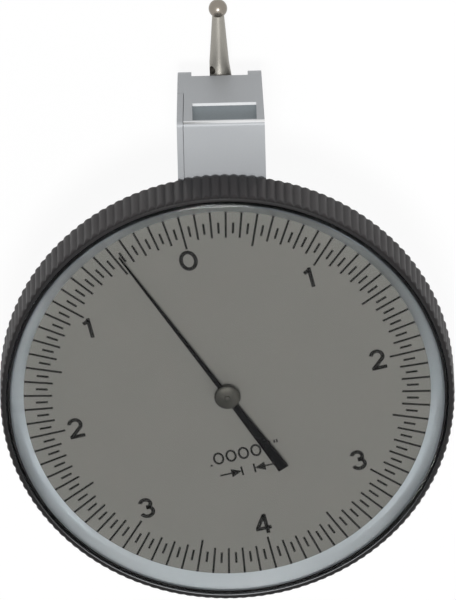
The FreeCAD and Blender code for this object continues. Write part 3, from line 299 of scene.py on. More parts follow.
# Blackened turned steel of the hand's hub cap: a dark grey with faint rings.
HUB_STEEL = Finish("darkened_hub_steel", "hub_grey", "#302F2C", "#383733", 1.0, (0.4, 0.5), 0.06, 0.0006,
                   Grain.TURNED)
# Ground brass of the movement's plates and wheels: a soft yellow shine, drawn out along the body.
BRASS = Finish("ground_brass", "brass", "#B8965A", "#CBA968", 1.0, (0.24, 0.36), 0.05, 0.001, Grain.ALONG_Y)
# Polished hardened steel of screws, arbors, pinions, lever and stylus: a soft grey shine.
STEEL = Finish("polished_hard_steel", "steel", "#93908A", "#9F9C94", 1.0, (0.38, 0.48), 0.08, 0.0008)
# Blued spring steel of hairspring, spring ring and friction washers: a muted blue.
SPRING_STEEL = Finish("blued_spring_steel", "spring_steel", "#5A6788", "#6D7896", 1.0, (0.2, 0.3), 0.1,
                      0.0005)
# Synthetic ruby of the bearing jewels: deep pink, glassy.
RUBY = ClearFinish("synthetic_ruby", "ruby", "#B0213F", "#C22F4E", 0.0, (0.04, 0.1), 0.3, 0.0002, ior=1.76)
# Ground and polished hard metal of the contact ball: a warm dark grey.
HARD_METAL = Finish("polished_hard_metal", "carbide", "#857F76", "#908980", 1.0, (0.26, 0.34), 0.06, 0.0006)


def dress_nodes(finish: Finish, *nodes: str) -> None:
    """Gives solids of the frame their finish.

    Args:
        finish: what they are made of.
        nodes: their names.
    """
    for name in nodes:
        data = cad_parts[name].data
        data.materials.clear()
        data.materials.append(finish.material())
        log.info("solid %s keeps its shape and gets %s", name, finish.name)


@dataclass
class Piece:
    """One finished piece of the visual model."""

    name: str
    body: str
    finish: Finish
    stands_for: tuple[str, ...] = ()
    crease_deg: float = 32.0

    def make(self, shape: bmesh.types.BMesh) -> bpy.types.Object:
        """Turns a bmesh in the row frame into the piece and mounts it on its body.

        Args:
            shape: the finished shape, which is used up.

        Returns:
            The object.
        """
        mesh = bpy.data.meshes.new(self.name)
        shape.to_mesh(mesh)
        shape.free()
        mesh.polygons.foreach_set("use_smooth", [True] * len(mesh.polygons))
        mesh.set_sharp_from_angle(angle=math.radians(self.crease_deg))
        mesh.materials.append(self.finish.material())
        made = bpy.data.objects.new(self.name, mesh)
        bpy.context.scene.collection.objects.link(made)
        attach(made, self.body)
        if self.stands_for:
            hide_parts(*self.stands_for)
        log.info("piece %s on %s, %d faces", self.name, self.body, len(mesh.polygons))
        return made


def spun(profile: list[Point2], steps: int, axis: Point3 = (0, 0, 1), centre: Point3 = (0, 0, 0),
         closed: bool = True) -> bmesh.types.BMesh:
    """Spins a profile once round an axis.

    Args:
        profile: radius and place along the axis, in millimetres.
        steps: facets round the axis.
        axis: the dial's axis, or +Y for the stylus.
        centre: a point of the axis, in millimetres.
        closed: joins the profile's last point to its first.

    Returns:
        The closed shape, with its normals outwards.
    """
    along = Vector(axis)
    side = Vector((1, 0, 0))
    middle = Vector(centre)
    shape = bmesh.new()
    corners = [shape.verts.new((middle + side * r + along * z) * MM) for r, z in profile]
    runs = [shape.edges.new(pair) for pair in zip(corners, corners[1:])]
    if closed:
        runs.append(shape.edges.new((corners[-1], corners[0])))
    bmesh.ops.spin(shape, geom=corners + runs, cent=middle * MM, axis=along, dvec=(0, 0, 0), angle=FULL_TURN,
                   steps=steps, use_merge=True, use_normal_flip=False, use_duplicate=False)
    bmesh.ops.remove_doubles(shape, verts=shape.verts, dist=MERGE_MM * MM)
    bmesh.ops.dissolve_degenerate(shape, edges=shape.edges, dist=NO_LENGTH_MM * MM)
    bmesh.ops.delete(shape, geom=[edge for edge in shape.edges if not edge.link_faces], context="EDGES")
    bmesh.ops.recalc_face_normals(shape, faces=shape.faces)
    return shape


def raise_face(shape: bmesh.types.BMesh, face: bmesh.types.BMFace,
               height: float) -> list[bmesh.types.BMVert]:
    """Makes a plate of a flat face.

    Args:
        shape: the shape that the face is in.
        face: the plate's underside.
        height: how thick the plate gets, in metres.

    Returns:
        The corners of the plate's upper side.
    """
    raised = bmesh.ops.extrude_face_region(shape, geom=[face])["geom"]
    top = [v for v in raised if isinstance(v, bmesh.types.BMVert)]
    bmesh.ops.translate(shape, vec=(0, 0, height), verts=top)
    return top


def merged_copy(node: str) -> bmesh.types.BMesh:
    """Copies a solid of the frame and joins its loose triangles.

    Args:
        node: the solid's name.

    Returns:
        The copy, with flat faces made whole.
    """
    shape = bmesh.new()
    shape.from_mesh(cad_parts[node].data)
    bmesh.ops.remove_doubles(shape, verts=shape.verts, dist=MERGE_MM * MM)
    bmesh.ops.dissolve_limit(shape, angle_limit=math.radians(FLAT_DEG), use_dissolve_boundaries=False,
                             verts=shape.verts, edges=shape.edges, delimit={"NORMAL"})
    return shape


def smooth_solid(name: str, node: str, body: str, finish: Finish) -> bpy.types.Object:
    """Makes a smooth-shaded piece from a solid of the frame.

    Args:
        name: the piece's name.
        node: the solid it stands for.
        body: what it rides on.
        finish: its finish.

    Returns:
        The object, with normals led by the large faces.
    """
    made = Piece(name, body, finish, (node,), SOLID_CREASE_DEG).make(merged_copy(node))
    even = made.modifiers.new("Even shading", "WEIGHTED_NORMAL")
    even.keep_sharp = True
    even.weight = LARGE_FACE_WEIGHT
    return made


@dataclass
class BarBody:
    """The milled bar with its cover, screws and the round dial case on it.

    The recess lies across the nose, between two heights. In the solid the corners of both its ends stand
    between the two recess_ends off the middle, and they move recess_shift to the right.
    """

    body: str = "case"
    nose_y: float = 23.83
    recess_z: Point2 = (9.1, 12.22)
    recess_half: float = 2.68
    recess_ends: Point2 = (2.5, 3.0)
    recess_shift: float = 0.33
    recess_depth: float = 1.2
    front_depth: float = 0.1
    brow_depth: float = 1.0
    brow_tilt: Point2 = (0.15, 0.75)
    margin: float = 0.01

    def at_recess(self, y: float, z: float) -> bool:
        """Says whether a place is as far forward and as high as the recess.

        Args:
            y: its place along the body.
            z: its height.

        Returns:
            True between the recess's foot and head, near the front of the nose.
        """
        low, high = self.recess_z
        return low - self.margin < z < high + self.margin and y > self.nose_y - self.recess_depth

    def shift_recess(self, mesh: bpy.types.Mesh) -> None:
        """Moves both ends of the recess sideways, to where the photograph has them.

        Args:
            mesh: the bar's mesh.
        """
        near, far = self.recess_ends
        for corner in mesh.vertices:
            x, y, z = corner.co / MM
            if near < abs(x) < far and self.at_recess(y, z):
                corner.co.x += self.recess_shift * MM

    def paint_recess_shade_and_highlights(self, mesh: bpy.types.Mesh) -> None:
        """Paints shade on the recess across the nose as a darker face, and paints highlights on its foot and
        the nose's brow as bright lines.

        Args:
            mesh: the bar's mesh.
        """
        mesh.materials.append(RECESS_PAINTED_SHADE.material())
        mesh.materials.append(PAINTED_HIGHLIGHT_EDGE.material())
        for face in mesh.polygons:
            x, y, z = face.center / MM
            inside = abs(x - self.recess_shift) < self.recess_half and self.at_recess(y, z)
            above = y > self.nose_y - self.brow_depth and z > self.recess_z[1]
            brow = above and self.brow_tilt[0] < face.normal.z < self.brow_tilt[1]
            # The brow and the recess's foot get the painted highlight, and the recess's face gets the painted
            # shade.
            if brow or (inside and face.normal.z > FACING):
                face.material_index = 2
            elif inside and face.normal.y > FACING and y < self.nose_y - self.front_depth:
                face.material_index = 1

    def build(self) -> None:
        """Makes the case's outside smooth and dresses what it holds."""
        bar = smooth_solid("bar_body", "housing", self.body, SATIN_CHROME)
        self.shift_recess(bar.data)
        self.paint_recess_shade_and_highlights(bar.data)
        smooth_solid("cover_plate", "side_cover", self.body, SATIN_CHROME)
        smooth_solid("dial_case_cup", "case_cup", self.body, TURNED_CHROME)
        smooth_solid("cover_plate_screws", "cover_screws", self.body, STEEL)
        smooth_solid("pivot_screw_pair", "pivot_screws", self.body, STEEL)
        dress_nodes(STEEL, "cup_screws", "bridge_screws", "cock_screws")
        dress_nodes(BRASS, "movement_plate", "bearing_cock", "upper_bridge", "hairspring_stud")
        dress_nodes(RUBY, "train_jewels", "lower_jewel", "upper_jewel")
        dress_nodes(SPRING_STEEL, "bezel_spring")


@dataclass
class Bezel:
    """The turning bezel: knurled ring, light ring, dial disc and crystal.

    A rounding of the knurled ring is a row of points, each with how far it lies inside the outer radius and
    how far from the ring's low or top edge.
    """

    body: str = "bezel"
    teeth: int = 153
    steps_per_tooth: int = 6
    tooth_sharpness: float = 1.6
    knurl_depth: float = 0.16
    outer_r: float = 19.05
    low_z: float = 12.95
    top_z: float = 17.02
    foot_round: tuple[Point2, ...] = ((0.16, 0.0), (0.05, 0.05), (0.0, 0.16))
    flank_z: tuple[float, ...] = (13.3, 15.0, 16.5, 16.7)
    top_round: tuple[Point2, ...] = ((0.05, 0.18), (0.14, 0.06), (0.26, 0.0))
    seat_r: float = 18.45
    lip: Point2 = (0.14, 0.17)
    lip_tilt: Point2 = (0.2, 0.9)
    ledge_r: float = 16.8
    ledge_z: float = 15.35
    bore_r: float = 17.1
    groove_r: float = 17.32
    groove_z: Point2 = (13.93, 14.63)
    dial_z: float = DIAL_Z
    dial_low_z: float = 15.70
    dial_r: float = 17.5
    dial_hole_r: float = 0.7
    ring_inner_r: float = 17.05
    ring_crest_r: float = 18.06
    ring_outer_r: float = 18.2
    ring_top_z: float = 16.85
    slope_shares: tuple[float, ...] = (0.97, 0.75, 0.5, 0.25)
    slope_bend: float = 0.93
    ring_facets: int = 240
    crystal_play: float = 0.08
    crystal_thickness: float = 0.5
    crystal_rise: float = 1.2
    crystal_wall: float = 0.16
    crystal_bevel: Point2 = (0.2, 0.09)
    crystal_foot_r: float = 18.0
    crystal_foot: float = 0.02
    crystal_rows: int = 20
    crystal_facets: int = 200

    def ring_profile(self) -> list[Point2]:
        """Gives the knurled ring's section, from its foot up the outside and down the inside.

        Returns:
            Radius and height of each point.
        """
        foot = [(self.outer_r - inset, self.low_z + rise) for inset, rise in self.foot_round]
        flank = [(self.outer_r, z) for z in self.flank_z]
        top = [(self.outer_r - inset, self.top_z - drop) for inset, drop in self.top_round]
        lip = [(self.seat_r + self.lip[0], self.top_z), (self.seat_r, self.top_z - self.lip[1])]
        seats = [(self.seat_r, self.dial_z), (self.dial_r, self.dial_z), (self.dial_r, self.dial_low_z),
                 (self.ledge_r, self.dial_low_z), (self.ledge_r, self.ledge_z), (self.bore_r, self.ledge_z)]
        low, high = self.groove_z
        groove = [(self.bore_r, high), (self.groove_r, high), (self.groove_r, low), (self.bore_r, low)]
        return foot + flank + top + lip + seats + groove + [(self.bore_r, self.low_z)]

    def knurled_ring(self) -> None:
        """Makes the coin-edge ring, its teeth fading out over the two rounded edges."""
        shape = spun(self.ring_profile(), self.teeth * self.steps_per_tooth)
        pitch = FULL_TURN / self.teeth
        root = self.outer_r - self.knurl_depth
        for corner in shape.verts:
            reach = math.hypot(corner.co.x, corner.co.y)
            if reach < root * MM:
                continue
            turn = math.atan2(corner.co.y, corner.co.x)
            hollow = (0.5 - 0.5 * math.cos(FULL_TURN * turn / pitch)) ** self.tooth_sharpness
            cut = min(reach, (self.outer_r - self.knurl_depth * hollow) * MM)
            corner.co.x *= cut / reach
            corner.co.y *= cut / reach
        ring = Piece("knurled_ring", self.body, DARK_OXIDE, ("bezel_ring",), crease_deg=40.0).make(shape)
        self.rub_lip(ring.data)

    def rub_lip(self, mesh: bpy.types.Mesh) -> None:
        """Gives the chamfer round the crystal's seat its bare finish.

        Args:
            mesh: the knurled ring's mesh.
        """
        mesh.materials.append(BARE_LIP.material())
        for face in mesh.polygons:
            x, y, z = face.center / MM
            at_seat = self.seat_r < math.hypot(x, y) < self.seat_r + self.lip[0]
            at_top = z > self.top_z - self.lip[1]
            if at_seat and at_top and self.lip_tilt[0] < face.normal.z < self.lip_tilt[1]:
                face.material_index = 1

    def sloping_ring(self) -> None:
        """Makes the bright ring that slopes up from the dial to the crystal."""
        rise = self.ring_top_z - self.dial_z
        width = self.ring_crest_r - self.ring_inner_r
        slope = [(self.ring_inner_r + width * share, self.dial_z + rise * share ** self.slope_bend)
                 for share in self.slope_shares]
        profile = [(self.ring_inner_r, self.dial_z), (self.ring_outer_r, self.dial_z),
                   (self.ring_outer_r, self.ring_top_z), (self.ring_crest_r, self.ring_top_z), *slope]
        shape = spun(profile, self.ring_facets)
        Piece("sloping_light_ring", self.body, LIGHT_RING, ("light_ring",)).make(shape)

    def dial_disc(self) -> None:
        """Makes the enamelled disc that carries the print, set below the light ring."""
        profile = [(self.dial_hole_r, self.dial_low_z), (self.dial_r, self.dial_low_z),
                   (self.dial_r, self.dial_z), (self.dial_hole_r, self.dial_z)]
        shape = spun(profile, self.ring_facets)
        Piece("enamelled_dial", self.body, DIAL_ENAMEL, ("dial_face",)).make(shape)

    def dome(self, drop: float) -> list[Point2]:
        """Gives the domed line of the crystal, a given way under its top.

        Args:
            drop: how far under the outer face, in millimetres.

        Returns:
            Points from the edge to the middle.
        """
        radius = (self.seat_r ** 2 + self.crystal_rise ** 2) / (2 * self.crystal_rise)
        middle = self.ring_top_z + self.crystal_wall + self.crystal_rise - radius
        reach = self.seat_r - self.crystal_play - self.crystal_bevel[0]
        line = []
        for step in range(self.crystal_rows + 1):
            r = reach * (1 - step / self.crystal_rows)
            line.append((r, middle + math.sqrt((radius - drop) ** 2 - r * r)))
        return line

    def crystal(self) -> None:
        """Makes the domed crystal, a hair smaller than its seat, so that a dark line rings it.

        It casts no shadow and doesn't meet diffuse rays, so that the light on the dial isn't counted twice.
        """
        edge = self.seat_r - self.crystal_play
        outer = self.dome(0.0)
        foot_z = self.ring_top_z + self.crystal_foot
        inner = [p for p in reversed(self.dome(self.crystal_thickness)) if p[1] > foot_z]
        profile = outer + inner + [(self.crystal_foot_r, self.ring_top_z), (edge, self.ring_top_z),
                                   (edge, outer[0][1] - self.crystal_bevel[1])]
        shape = spun(profile, self.crystal_facets)
        made = Piece("domed_crystal", self.body, ACRYLIC, ("crystal",)).make(shape)
        made.visible_shadow = False
        made.visible_diffuse = False

    def build(self) -> None:
        """Makes the ring, the light ring, the dial disc and the crystal."""
        self.knurled_ring()
        self.sloping_ring()
        self.dial_disc()
        self.crystal()


def arc(x: float, y: float, rx: float, ry: float, start: float, end: float) -> list[Point2]:
    """Samples part of an ellipse.

    Args:
        x, y: its centre.
        rx, ry: its half axes.
        start, end: angles in degrees, counter-clockwise from +X.

    Returns:
        Its points, the ends included.
    """
    count = max(2, math.ceil(abs(end - start) / CURVE_STEP_DEG))
    angles = [math.radians(start + (end - start) * k / count) for k in range(count + 1)]
    return [(x + rx * math.cos(a), y + ry * math.sin(a)) for a in angles]


GLYPHS: dict[str, list[list[Point2]]] = {
    "0": [arc(0, 0, 0.39, 0.5, 90, 450)],
    "1": [[(0.05, 0.59), (0.05, -0.59)], [(-0.26, 0.3), (0.06, 0.44)]],
    "2": [arc(0, 0.2, 0.31, 0.3, 170, -35) + [(-0.3, -0.48)], [(-0.42, -0.5), (0.4, -0.5)]],
    "3": [arc(0, 0.25, 0.28, 0.25, 165, -90), arc(0, -0.22, 0.32, 0.28, 90, -165)],
    "4": [[(0.17, -0.59), (0.17, 0.59)], [(0.15, 0.52), (-0.36, -0.24)], [(-0.44, -0.25), (0.42, -0.25)]],
    "5": [[(0.3, 0.5), (-0.2, 0.5), (-0.25, 0.06)], arc(-0.01, -0.18, 0.31, 0.32, 140, -150)],
}


@dataclass
class DialPrint:
    """What is printed on the dial: graduations, numbers, the graduation value and its two arrows.

    Places are millimetres from the dial's centre, with the zero mark at +Y. A number is its figure, its turn
    from the zero mark in degrees and its radius, a little off the even spacing, as in the photograph.
    """

    body: str = "bezel"
    dial_z: float = DIAL_Z
    turned_deg: float = 12.75
    ink_mm: float = 0.012
    mitre_limit: float = 0.45
    closing_gap: float = 1e-6
    marks: int = 80
    long_each: int = 5
    mark_width: float = 0.18
    half_mark_width: float = 0.19
    mark_r: Point2 = (14.65, 17.05)
    long_mark_r: Point2 = (14.0, 17.05)
    half_mark_r: Point2 = (15.05, 16.05)
    numbers: tuple[tuple[str, float, float], ...] = (
        ("0", -0.55, 12.93), ("1", 46.4, 12.91), ("2", 89.95, 12.98), ("3", 134.1, 12.68),
        ("4", 180.4, 12.74), ("3", 226.2, 12.76), ("2", 269.9, 13.1), ("1", 312.35, 13.12))
    number_height: float = 1.9
    number_stroke: float = 0.33
    value_figures: str = "00005"
    value_height: float = 1.16
    value_stroke: float = 0.18
    value_pitch: float = 1.074
    value_place: Point2 = (-2.194, -5.78)
    point_x: Point2 = (-3.014, -2.834)
    point_y: float = -6.3
    inch_x: Point2 = (2.72, 2.95)
    inch_y: Point2 = (-5.2, -5.5)
    inch_stroke: float = 0.14
    arrow_y: float = -7.4
    arrow_tips: Point2 = (-0.557, 0.518)
    arrow_bar_half: float = 0.42
    arrow_bar_stroke: float = 0.16
    arrow_shaft: Point2 = (1.9, 0.5)
    arrow_shaft_stroke: float = 0.15
    arrow_head: Point2 = (0.92, 0.4)

    @property
    def place(self) -> Matrix:
        """Turns the print to where the dial stands, and lays it on the enamel."""
        return (Matrix.Translation((0, 0, self.dial_z * MM))
                @ Matrix.Rotation(math.radians(self.turned_deg), 4, "Z"))

    def finish(self, name: str, shape: bmesh.types.BMesh) -> None:
        """Makes a piece of ink from what was drawn.

        Args:
            name: the piece's name.
            shape: the closed strokes.
        """
        bmesh.ops.recalc_face_normals(shape, faces=shape.faces)
        Piece(name, self.body, DIAL_INK).make(shape)

    def mark(self, shape: bmesh.types.BMesh, width: float, reach: Point2, turn_deg: float) -> None:
        """Draws one radial mark.

        Args:
            shape: gets the mark.
            width: of the mark.
            reach: its inner and outer radius.
            turn_deg: where it stands, clockwise from the zero mark.
        """
        turn = math.radians(turn_deg)
        self.stroke(shape, [(r * math.sin(turn), r * math.cos(turn)) for r in reach], width)

    def graduations(self) -> None:
        """Makes the 80 marks, the long ones at each fifth and the short ones between them."""
        shape = bmesh.new()
        pitch = 360 / self.marks
        for index in range(self.marks):
            reach = self.mark_r if index % self.long_each else self.long_mark_r
            self.mark(shape, self.mark_width, reach, index * pitch)
            self.mark(shape, self.half_mark_width, self.half_mark_r, (index + 0.5) * pitch)
        self.finish("dial_graduations", shape)

    def stroke(self, shape: bmesh.types.BMesh, line: list[Point2], width: float) -> None:
        """Draws one line of ink, with mitred corners and square ends.

        Args:
            shape: gets the stroke.
            line: its middle line in millimetres, closed if it ends where it starts.
            width: of the stroke.
        """
        ring = math.dist(line[0], line[-1]) < self.closing_gap
        points = [Vector(p) for p in (line[:-1] if ring else line)]
        last = len(points) - 1
        rungs = []
        for k, point in enumerate(points):
            back = (point - points[k - 1]) if (k or ring) else (points[1] - point)
            ahead = (points[(k + 1) % len(points)] - point) if (k < last or ring) else back
            along = (back.normalized() + ahead.normalized()).normalized()
            half = width / 2 / max(along.dot(back.normalized()), self.mitre_limit)
            side = Vector((-along.y, along.x)) * half
            section = ((point + side, 0), (point - side, 0), (point - side, 1), (point + side, 1))
            rungs.append([shape.verts.new(self.place @ Vector((q.x * MM, q.y * MM, z * self.ink_mm * MM)))
                          for q, z in section])
        pairs = list(zip(rungs, rungs[1:])) + ([(rungs[-1], rungs[0])] if ring else [])
        for near, far in pairs:
            for a in range(4):
                shape.faces.new((near[a], near[(a + 1) % 4], far[(a + 1) % 4], far[a]))
        if not ring:
            shape.faces.new(rungs[0])
            shape.faces.new(rungs[-1])

    def write(self, shape: bmesh.types.BMesh, glyph: str, centre: Point2, height: float,
              width: float) -> None:
        """Writes one figure.

        Args:
            shape: gets the figure.
            glyph: which one.
            centre: its middle on the dial, in the print's own frame.
            height: over all, stroke included.
            width: of the stroke.
        """
        size = height - width
        for line in GLYPHS[glyph]:
            drawn = [(centre[0] + x * size, centre[1] + y * size) for x, y in line]
            self.stroke(shape, drawn, width)

    def figures(self) -> None:
        """Makes the numbers round the dial."""
        shape = bmesh.new()
        for glyph, turn_deg, radius in self.numbers:
            turn = math.radians(turn_deg)
            centre = (radius * math.sin(turn), radius * math.cos(turn))
            self.write(shape, glyph, centre, self.number_height, self.number_stroke)
        self.finish("dial_numbers", shape)

    def value(self) -> None:
        """Makes the graduation value: a point, four noughts, a five and the inch sign."""
        shape = bmesh.new()
        self.stroke(shape, [(x, self.point_y) for x in self.point_x], self.value_stroke)
        first, middle = self.value_place
        for index, glyph in enumerate(self.value_figures):
            centre = (first + index * self.value_pitch, middle)
            self.write(shape, glyph, centre, self.value_height, self.value_stroke)
        for x in self.inch_x:
            self.stroke(shape, [(x, y) for y in self.inch_y], self.inch_stroke)
        self.finish("dial_graduation_value", shape)

    def arrow(self, shape: bmesh.types.BMesh, tip_x: float, way: int) -> None:
        """Draws an arrow that points at a short upright bar.

        Args:
            shape: gets the arrow.
            tip_x: where the bar stands.
            way: 1 if the arrow points to +X, -1 if it points to -X.
        """
        bar = [(tip_x, self.arrow_y - self.arrow_bar_half), (tip_x, self.arrow_y + self.arrow_bar_half)]
        shaft = [(tip_x - way * reach, self.arrow_y) for reach in self.arrow_shaft]
        self.stroke(shape, bar, self.arrow_bar_stroke)
        self.stroke(shape, shaft, self.arrow_shaft_stroke)
        length, half = self.arrow_head
        back = tip_x - way * length
        corners = [(tip_x, self.arrow_y), (back, self.arrow_y + half), (back, self.arrow_y - half)]
        low = [shape.verts.new(self.place @ Vector((x * MM, y * MM, 0))) for x, y in corners]
        raise_face(shape, shape.faces.new(low), self.ink_mm * MM)

    def arrows(self) -> None:
        """Makes the pair of arrows that shows the width of one graduation."""
        shape = bmesh.new()
        for tip_x, way in zip(self.arrow_tips, (1, -1)):
            self.arrow(shape, tip_x, way)
        self.finish("dial_arrows", shape)

    def build(self) -> None:
        """Makes all that is printed on the dial."""
        self.graduations()
        self.figures()
        self.value()
        self.arrows()


@dataclass
class Pointer:
    """The hand with its hub, on the arbor that carries pinion and hairspring.

    The pip's points are radius and height over the hand's upper face, from its foot to its top.
    """

    body: str = "pointer"
    low_z: float = 16.4
    thickness: float = 0.12
    edge_round: float = 0.02
    turned_deg: float = 33.4
    length: float = 15.9
    tail: float = 8.3
    root_y: float = 0.5
    tail_root_y: float = -1.1
    root_w: float = 0.42
    tip_w: float = 0.12
    tail_root_w: float = 0.58
    tail_end_w: float = 0.95
    bore_r: float = 0.2
    collet_r: float = 0.55
    collet_drop: float = 0.15
    cap_r: float = 1.1
    cap_chamfer: float = 0.04
    cap_wall: float = 0.05
    cap_rise: float = 0.3
    cap_facets: int = 96
    dome_end_deg: int = 72
    dome_step_deg: int = 12
    pip: tuple[Point2, ...] = ((0.27, 0.345), (0.25, 0.42), (0.12, 0.455), (0.0, 0.46))

    def blade(self) -> None:
        """Makes the thin tapering hand with its widening, square-ended tail."""
        outline = [(self.tip_w / 2, self.length), (self.root_w / 2, self.root_y),
                   (self.tail_root_w / 2, self.tail_root_y), (self.tail_end_w / 2, -self.tail)]
        outline += [(-x, y) for x, y in reversed(outline)]
        shape = bmesh.new()
        face = shape.faces.new([shape.verts.new((x * MM, y * MM, self.low_z * MM)) for x, y in outline])
        top = raise_face(shape, face, self.thickness * MM)
        rim = [e for e in shape.edges if all(v in top for v in e.verts)]
        bmesh.ops.bevel(shape, geom=rim, offset=self.edge_round * MM, offset_type="OFFSET", segments=2,
                        profile=0.5, affect="EDGES", clamp_overlap=True, material=-1)
        turn = Matrix.Rotation(math.radians(self.turned_deg), 3, "Z")
        bmesh.ops.rotate(shape, cent=(0, 0, 0), matrix=turn, verts=shape.verts)
        bmesh.ops.recalc_face_normals(shape, faces=shape.faces)
        Piece("hand_blade", self.body, HAND_LACQUER, ("hand",), crease_deg=25.0).make(shape)

    def cap(self) -> None:
        """Makes the domed cap with its centre pip, and the collet under it."""
        low = self.low_z - self.collet_drop
        base = self.low_z + self.thickness
        wall = base + self.cap_wall
        angles = [math.radians(a) for a in range(0, self.dome_end_deg + 1, self.dome_step_deg)]
        dome = [(self.cap_r * math.cos(a), wall + self.cap_rise * math.sin(a)) for a in angles]
        pip = [(r, base + rise) for r, rise in self.pip]
        profile = [(self.bore_r, low), (self.collet_r, low), (self.collet_r, base),
                   (self.cap_r - self.cap_chamfer, base), *dome, *pip, (0.0, base), (self.bore_r, base)]
        shape = spun(profile, self.cap_facets)
        Piece("hub_cap", self.body, HUB_STEEL, ("hand_hub",), crease_deg=34.0).make(shape)

    def build(self) -> None:
        """Makes hand and hub, and dresses the arbor's parts."""
        self.blade()
        self.cap()
        dress_nodes(STEEL, "pointer_arbor", "pointer_pinion")
        dress_nodes(BRASS, "hairspring_collet")
        dress_nodes(SPRING_STEEL, "hairspring")


@dataclass
class Movement:
    """The wheels and levers inside the body, which keep their solids and get their finishes."""

    brass: tuple[str, ...] = ("crown_wheel", "sector_gear")
    steel: tuple[str, ...] = ("crown_arbor", "crown_pinion", "sector_arbor", "sector_rocker",
                              "measuring_lever", "reversing_pins", "hub_pin")

    def build(self) -> None:
        """Dresses the train and the lever."""
        dress_nodes(BRASS, *self.brass)
        dress_nodes(STEEL, *self.steel)
        dress_nodes(SPRING_STEEL, "friction_washers")


@dataclass
class Stylus:
    """The stylus: hub between the cheeks, tapered shank and hard ball."""

    body: str = "stylus"
    ball_r: float = 0.78
    ball_centre: Point3 = (0.0, 29.52, 2.8)
    ball_step_deg: int = 6
    ball_facets: int = 64

    def ball(self) -> None:
        """Makes the contact ball, spun from a half circle."""
        angles = [math.radians(a) for a in range(-90, 91, self.ball_step_deg)]
        half = [(self.ball_r * math.cos(a), self.ball_r * math.sin(a)) for a in angles]
        half[0], half[-1] = (0.0, -self.ball_r), (0.0, self.ball_r)
        shape = spun(half, self.ball_facets, axis=(0, 1, 0), centre=self.ball_centre, closed=False)
        Piece("contact_ball", self.body, HARD_METAL, ("stylus_ball",), crease_deg=60.0).make(shape)

    def build(self) -> None:
        """Makes the ball and smooths shank and hub."""
        self.ball()
        smooth_solid("tapered_shank", "stylus_shank", self.body, STEEL)
        smooth_solid("swivel_hub", "stylus_hub", self.body, STEEL)


@dataclass(frozen=True)
class Lamp:
    """A soft round lamp: which way it hangs, how far off and how wide in metres, and its power in watts."""

    name: str
    way: Point3
    distance: float
    size: float
    power: float


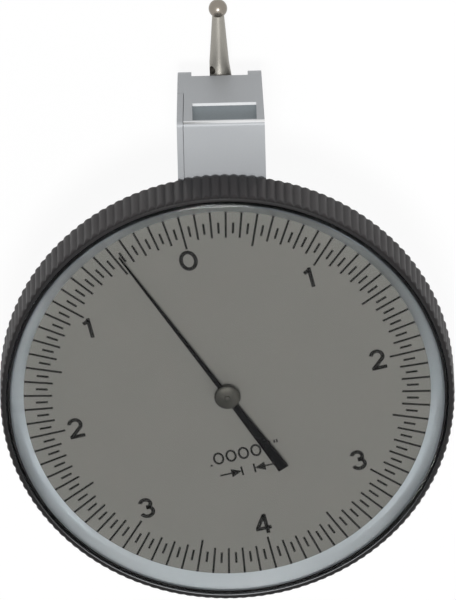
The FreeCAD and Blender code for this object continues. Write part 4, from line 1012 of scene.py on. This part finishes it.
@dataclass
class Studio:
    """Floor, surroundings, lamps and the camera.

    The camera stands so far off that its picture has hardly any perspective. It aims at a point over or under
    the dial's axis, given in millimetres right and up in the picture from the axis at aim_z.
    """

    tilt_deg: float = 27.21
    roll_deg: float = -1.4
    pixels_per_mm: float = 11.93
    aim: Point2 = (0.055, 7.905)
    aim_z: float = 16.1
    lens_mm: float = 1200.0
    sensor_mm: float = 36.0
    clip_m: Point2 = (0.05, 50)
    surround: float = 0.30
    table_tone: str = "#F0F0F0"
    table_glow: float = 1.03
    table_glow_share: float = 0.9
    table_half_m: float = 12.0
    table_drop: float = 0.02
    table_cells: int = 8
    lamp_target: Point3 = (0, 6, 10)
    lamps: tuple[Lamp, ...] = (Lamp("key_lamp", (-0.03, 0.25, 1.25), 0.40, 0.10, 0.92),
                               Lamp("back_lamp", (0.52, -0.68, 0.52), 0.45, 0.10, 0.3))

    def seen(self, tree: bpy.types.NodeTree) -> bpy.types.NodeSocket:
        """Tells rays that look at a surface, straight or in metal and glass, from rays that light it.

        Args:
            tree: the material's or the world's node tree.

        Returns:
            1 for camera, glossy and transmission rays, and 0 for the others.
        """
        path = add_node(tree, "ShaderNodeLightPath")
        either = add_node(tree, "ShaderNodeMath", {
            0: path.outputs["Is Camera Ray"], 1: path.outputs["Is Glossy Ray"]}, operation="MAXIMUM")
        any_of_them = add_node(tree, "ShaderNodeMath", {
            0: either.outputs["Value"], 1: path.outputs["Is Transmission Ray"]}, operation="MAXIMUM")
        return any_of_them.outputs["Value"]

    def surroundings(self) -> None:
        """Makes the white surroundings, which light the object at a lower level than they show."""
        world = bpy.data.worlds.new("white_studio")
        bpy.context.scene.world = world
        world.use_nodes = True
        tree = world.node_tree
        tree.nodes.clear()
        level = add_node(tree, "ShaderNodeMapRange", {
            "Value": self.seen(tree), "To Min": self.surround, "To Max": 1.0})
        light = add_node(tree, "ShaderNodeBackground", {
            "Color": (1, 1, 1, 1), "Strength": level.outputs["Result"]})
        add_node(tree, "ShaderNodeOutputWorld", {"Surface": light.outputs["Background"]})

    def floor(self) -> None:
        """Makes the white table, which keeps the object's soft shadow."""
        material = bpy.data.materials.new("white_table")
        material.use_nodes = True
        tree = material.node_tree
        tree.nodes.clear()
        share = add_node(tree, "ShaderNodeMath", {
            0: self.seen(tree), 1: self.table_glow_share}, operation="MULTIPLY")
        matt = add_node(tree, "ShaderNodeBsdfDiffuse", {"Color": linear(self.table_tone)})
        glow = add_node(tree, "ShaderNodeEmission", {"Color": (1, 1, 1, 1), "Strength": self.table_glow})
        both = add_node(tree, "ShaderNodeMixShader", {
            0: share.outputs["Value"], 1: matt.outputs["BSDF"], 2: glow.outputs["Emission"]})
        add_node(tree, "ShaderNodeOutputMaterial", {"Surface": both.outputs["Shader"]})
        shape = bmesh.new()
        bmesh.ops.create_grid(shape, x_segments=self.table_cells, y_segments=self.table_cells,
                              size=self.table_half_m)
        bmesh.ops.translate(shape, vec=(0, 0, -self.table_drop * MM), verts=shape.verts)
        mesh = bpy.data.meshes.new("white_table")
        shape.to_mesh(mesh)
        shape.free()
        mesh.materials.append(material)
        table = bpy.data.objects.new("white_table", mesh)
        bpy.context.scene.collection.objects.link(table)

    def light(self) -> None:
        """Hangs the soft lamps round the object."""
        target = Vector(self.lamp_target) * MM
        for lamp in self.lamps:
            data = bpy.data.lights.new(lamp.name, "AREA")
            data.shape, data.size, data.energy = "DISK", lamp.size, lamp.power
            hung = bpy.data.objects.new(lamp.name, data)
            bpy.context.scene.collection.objects.link(hung)
            hung.location = target + Vector(lamp.way).normalized() * lamp.distance
            hung.rotation_mode = "QUATERNION"
            hung.rotation_quaternion = Vector(lamp.way).to_track_quat("Z", "Y")
            hung.visible_camera = False

    def camera(self) -> None:
        """Sets the camera to look as the photograph does, down from the stylus's end."""
        tilt, roll = math.radians(self.tilt_deg), math.radians(self.roll_deg)
        right = Vector((1, 0, 0))
        up = Vector((0, math.cos(tilt), -math.sin(tilt)))
        back = Vector((0, math.sin(tilt), math.cos(tilt)))
        image_x = right * math.cos(roll) + up * math.sin(roll)
        image_y = up * math.cos(roll) - right * math.sin(roll)
        distance = self.lens_mm / self.sensor_mm * PICTURE_HEIGHT / self.pixels_per_mm
        axis_point = Vector((0, 0, self.aim_z))
        place = axis_point + image_x * self.aim[0] + image_y * self.aim[1] + back * distance
        data = bpy.data.cameras.new("photo_camera")
        data.lens, data.sensor_width, data.sensor_fit = self.lens_mm, self.sensor_mm, "AUTO"
        data.clip_start, data.clip_end = self.clip_m
        seat = bpy.data.objects.new("photo_camera", data)
        bpy.context.scene.collection.objects.link(seat)
        turn = Matrix((image_x, image_y, back)).transposed()
        seat.rotation_mode = "QUATERNION"
        seat.rotation_quaternion = turn.to_quaternion()
        seat.location = place * MM
        bpy.context.scene.camera = seat

    def build(self) -> None:
        """Sets up everything round the object."""
        bpy.context.scene.view_settings.view_transform = "Standard"
        self.surroundings()
        self.floor()
        self.light()
        self.camera()


def main() -> None:
    """Builds the sub-assemblies in order."""
    logging.basicConfig(level=logging.INFO, format="%(message)s")
    for part in (BarBody(), Bezel(), DialPrint(), Pointer(), Movement(), Stylus(), Studio()):
        part.build()
        log.info("%s is done", type(part).__name__)


if __name__ == "__main__":
    main()
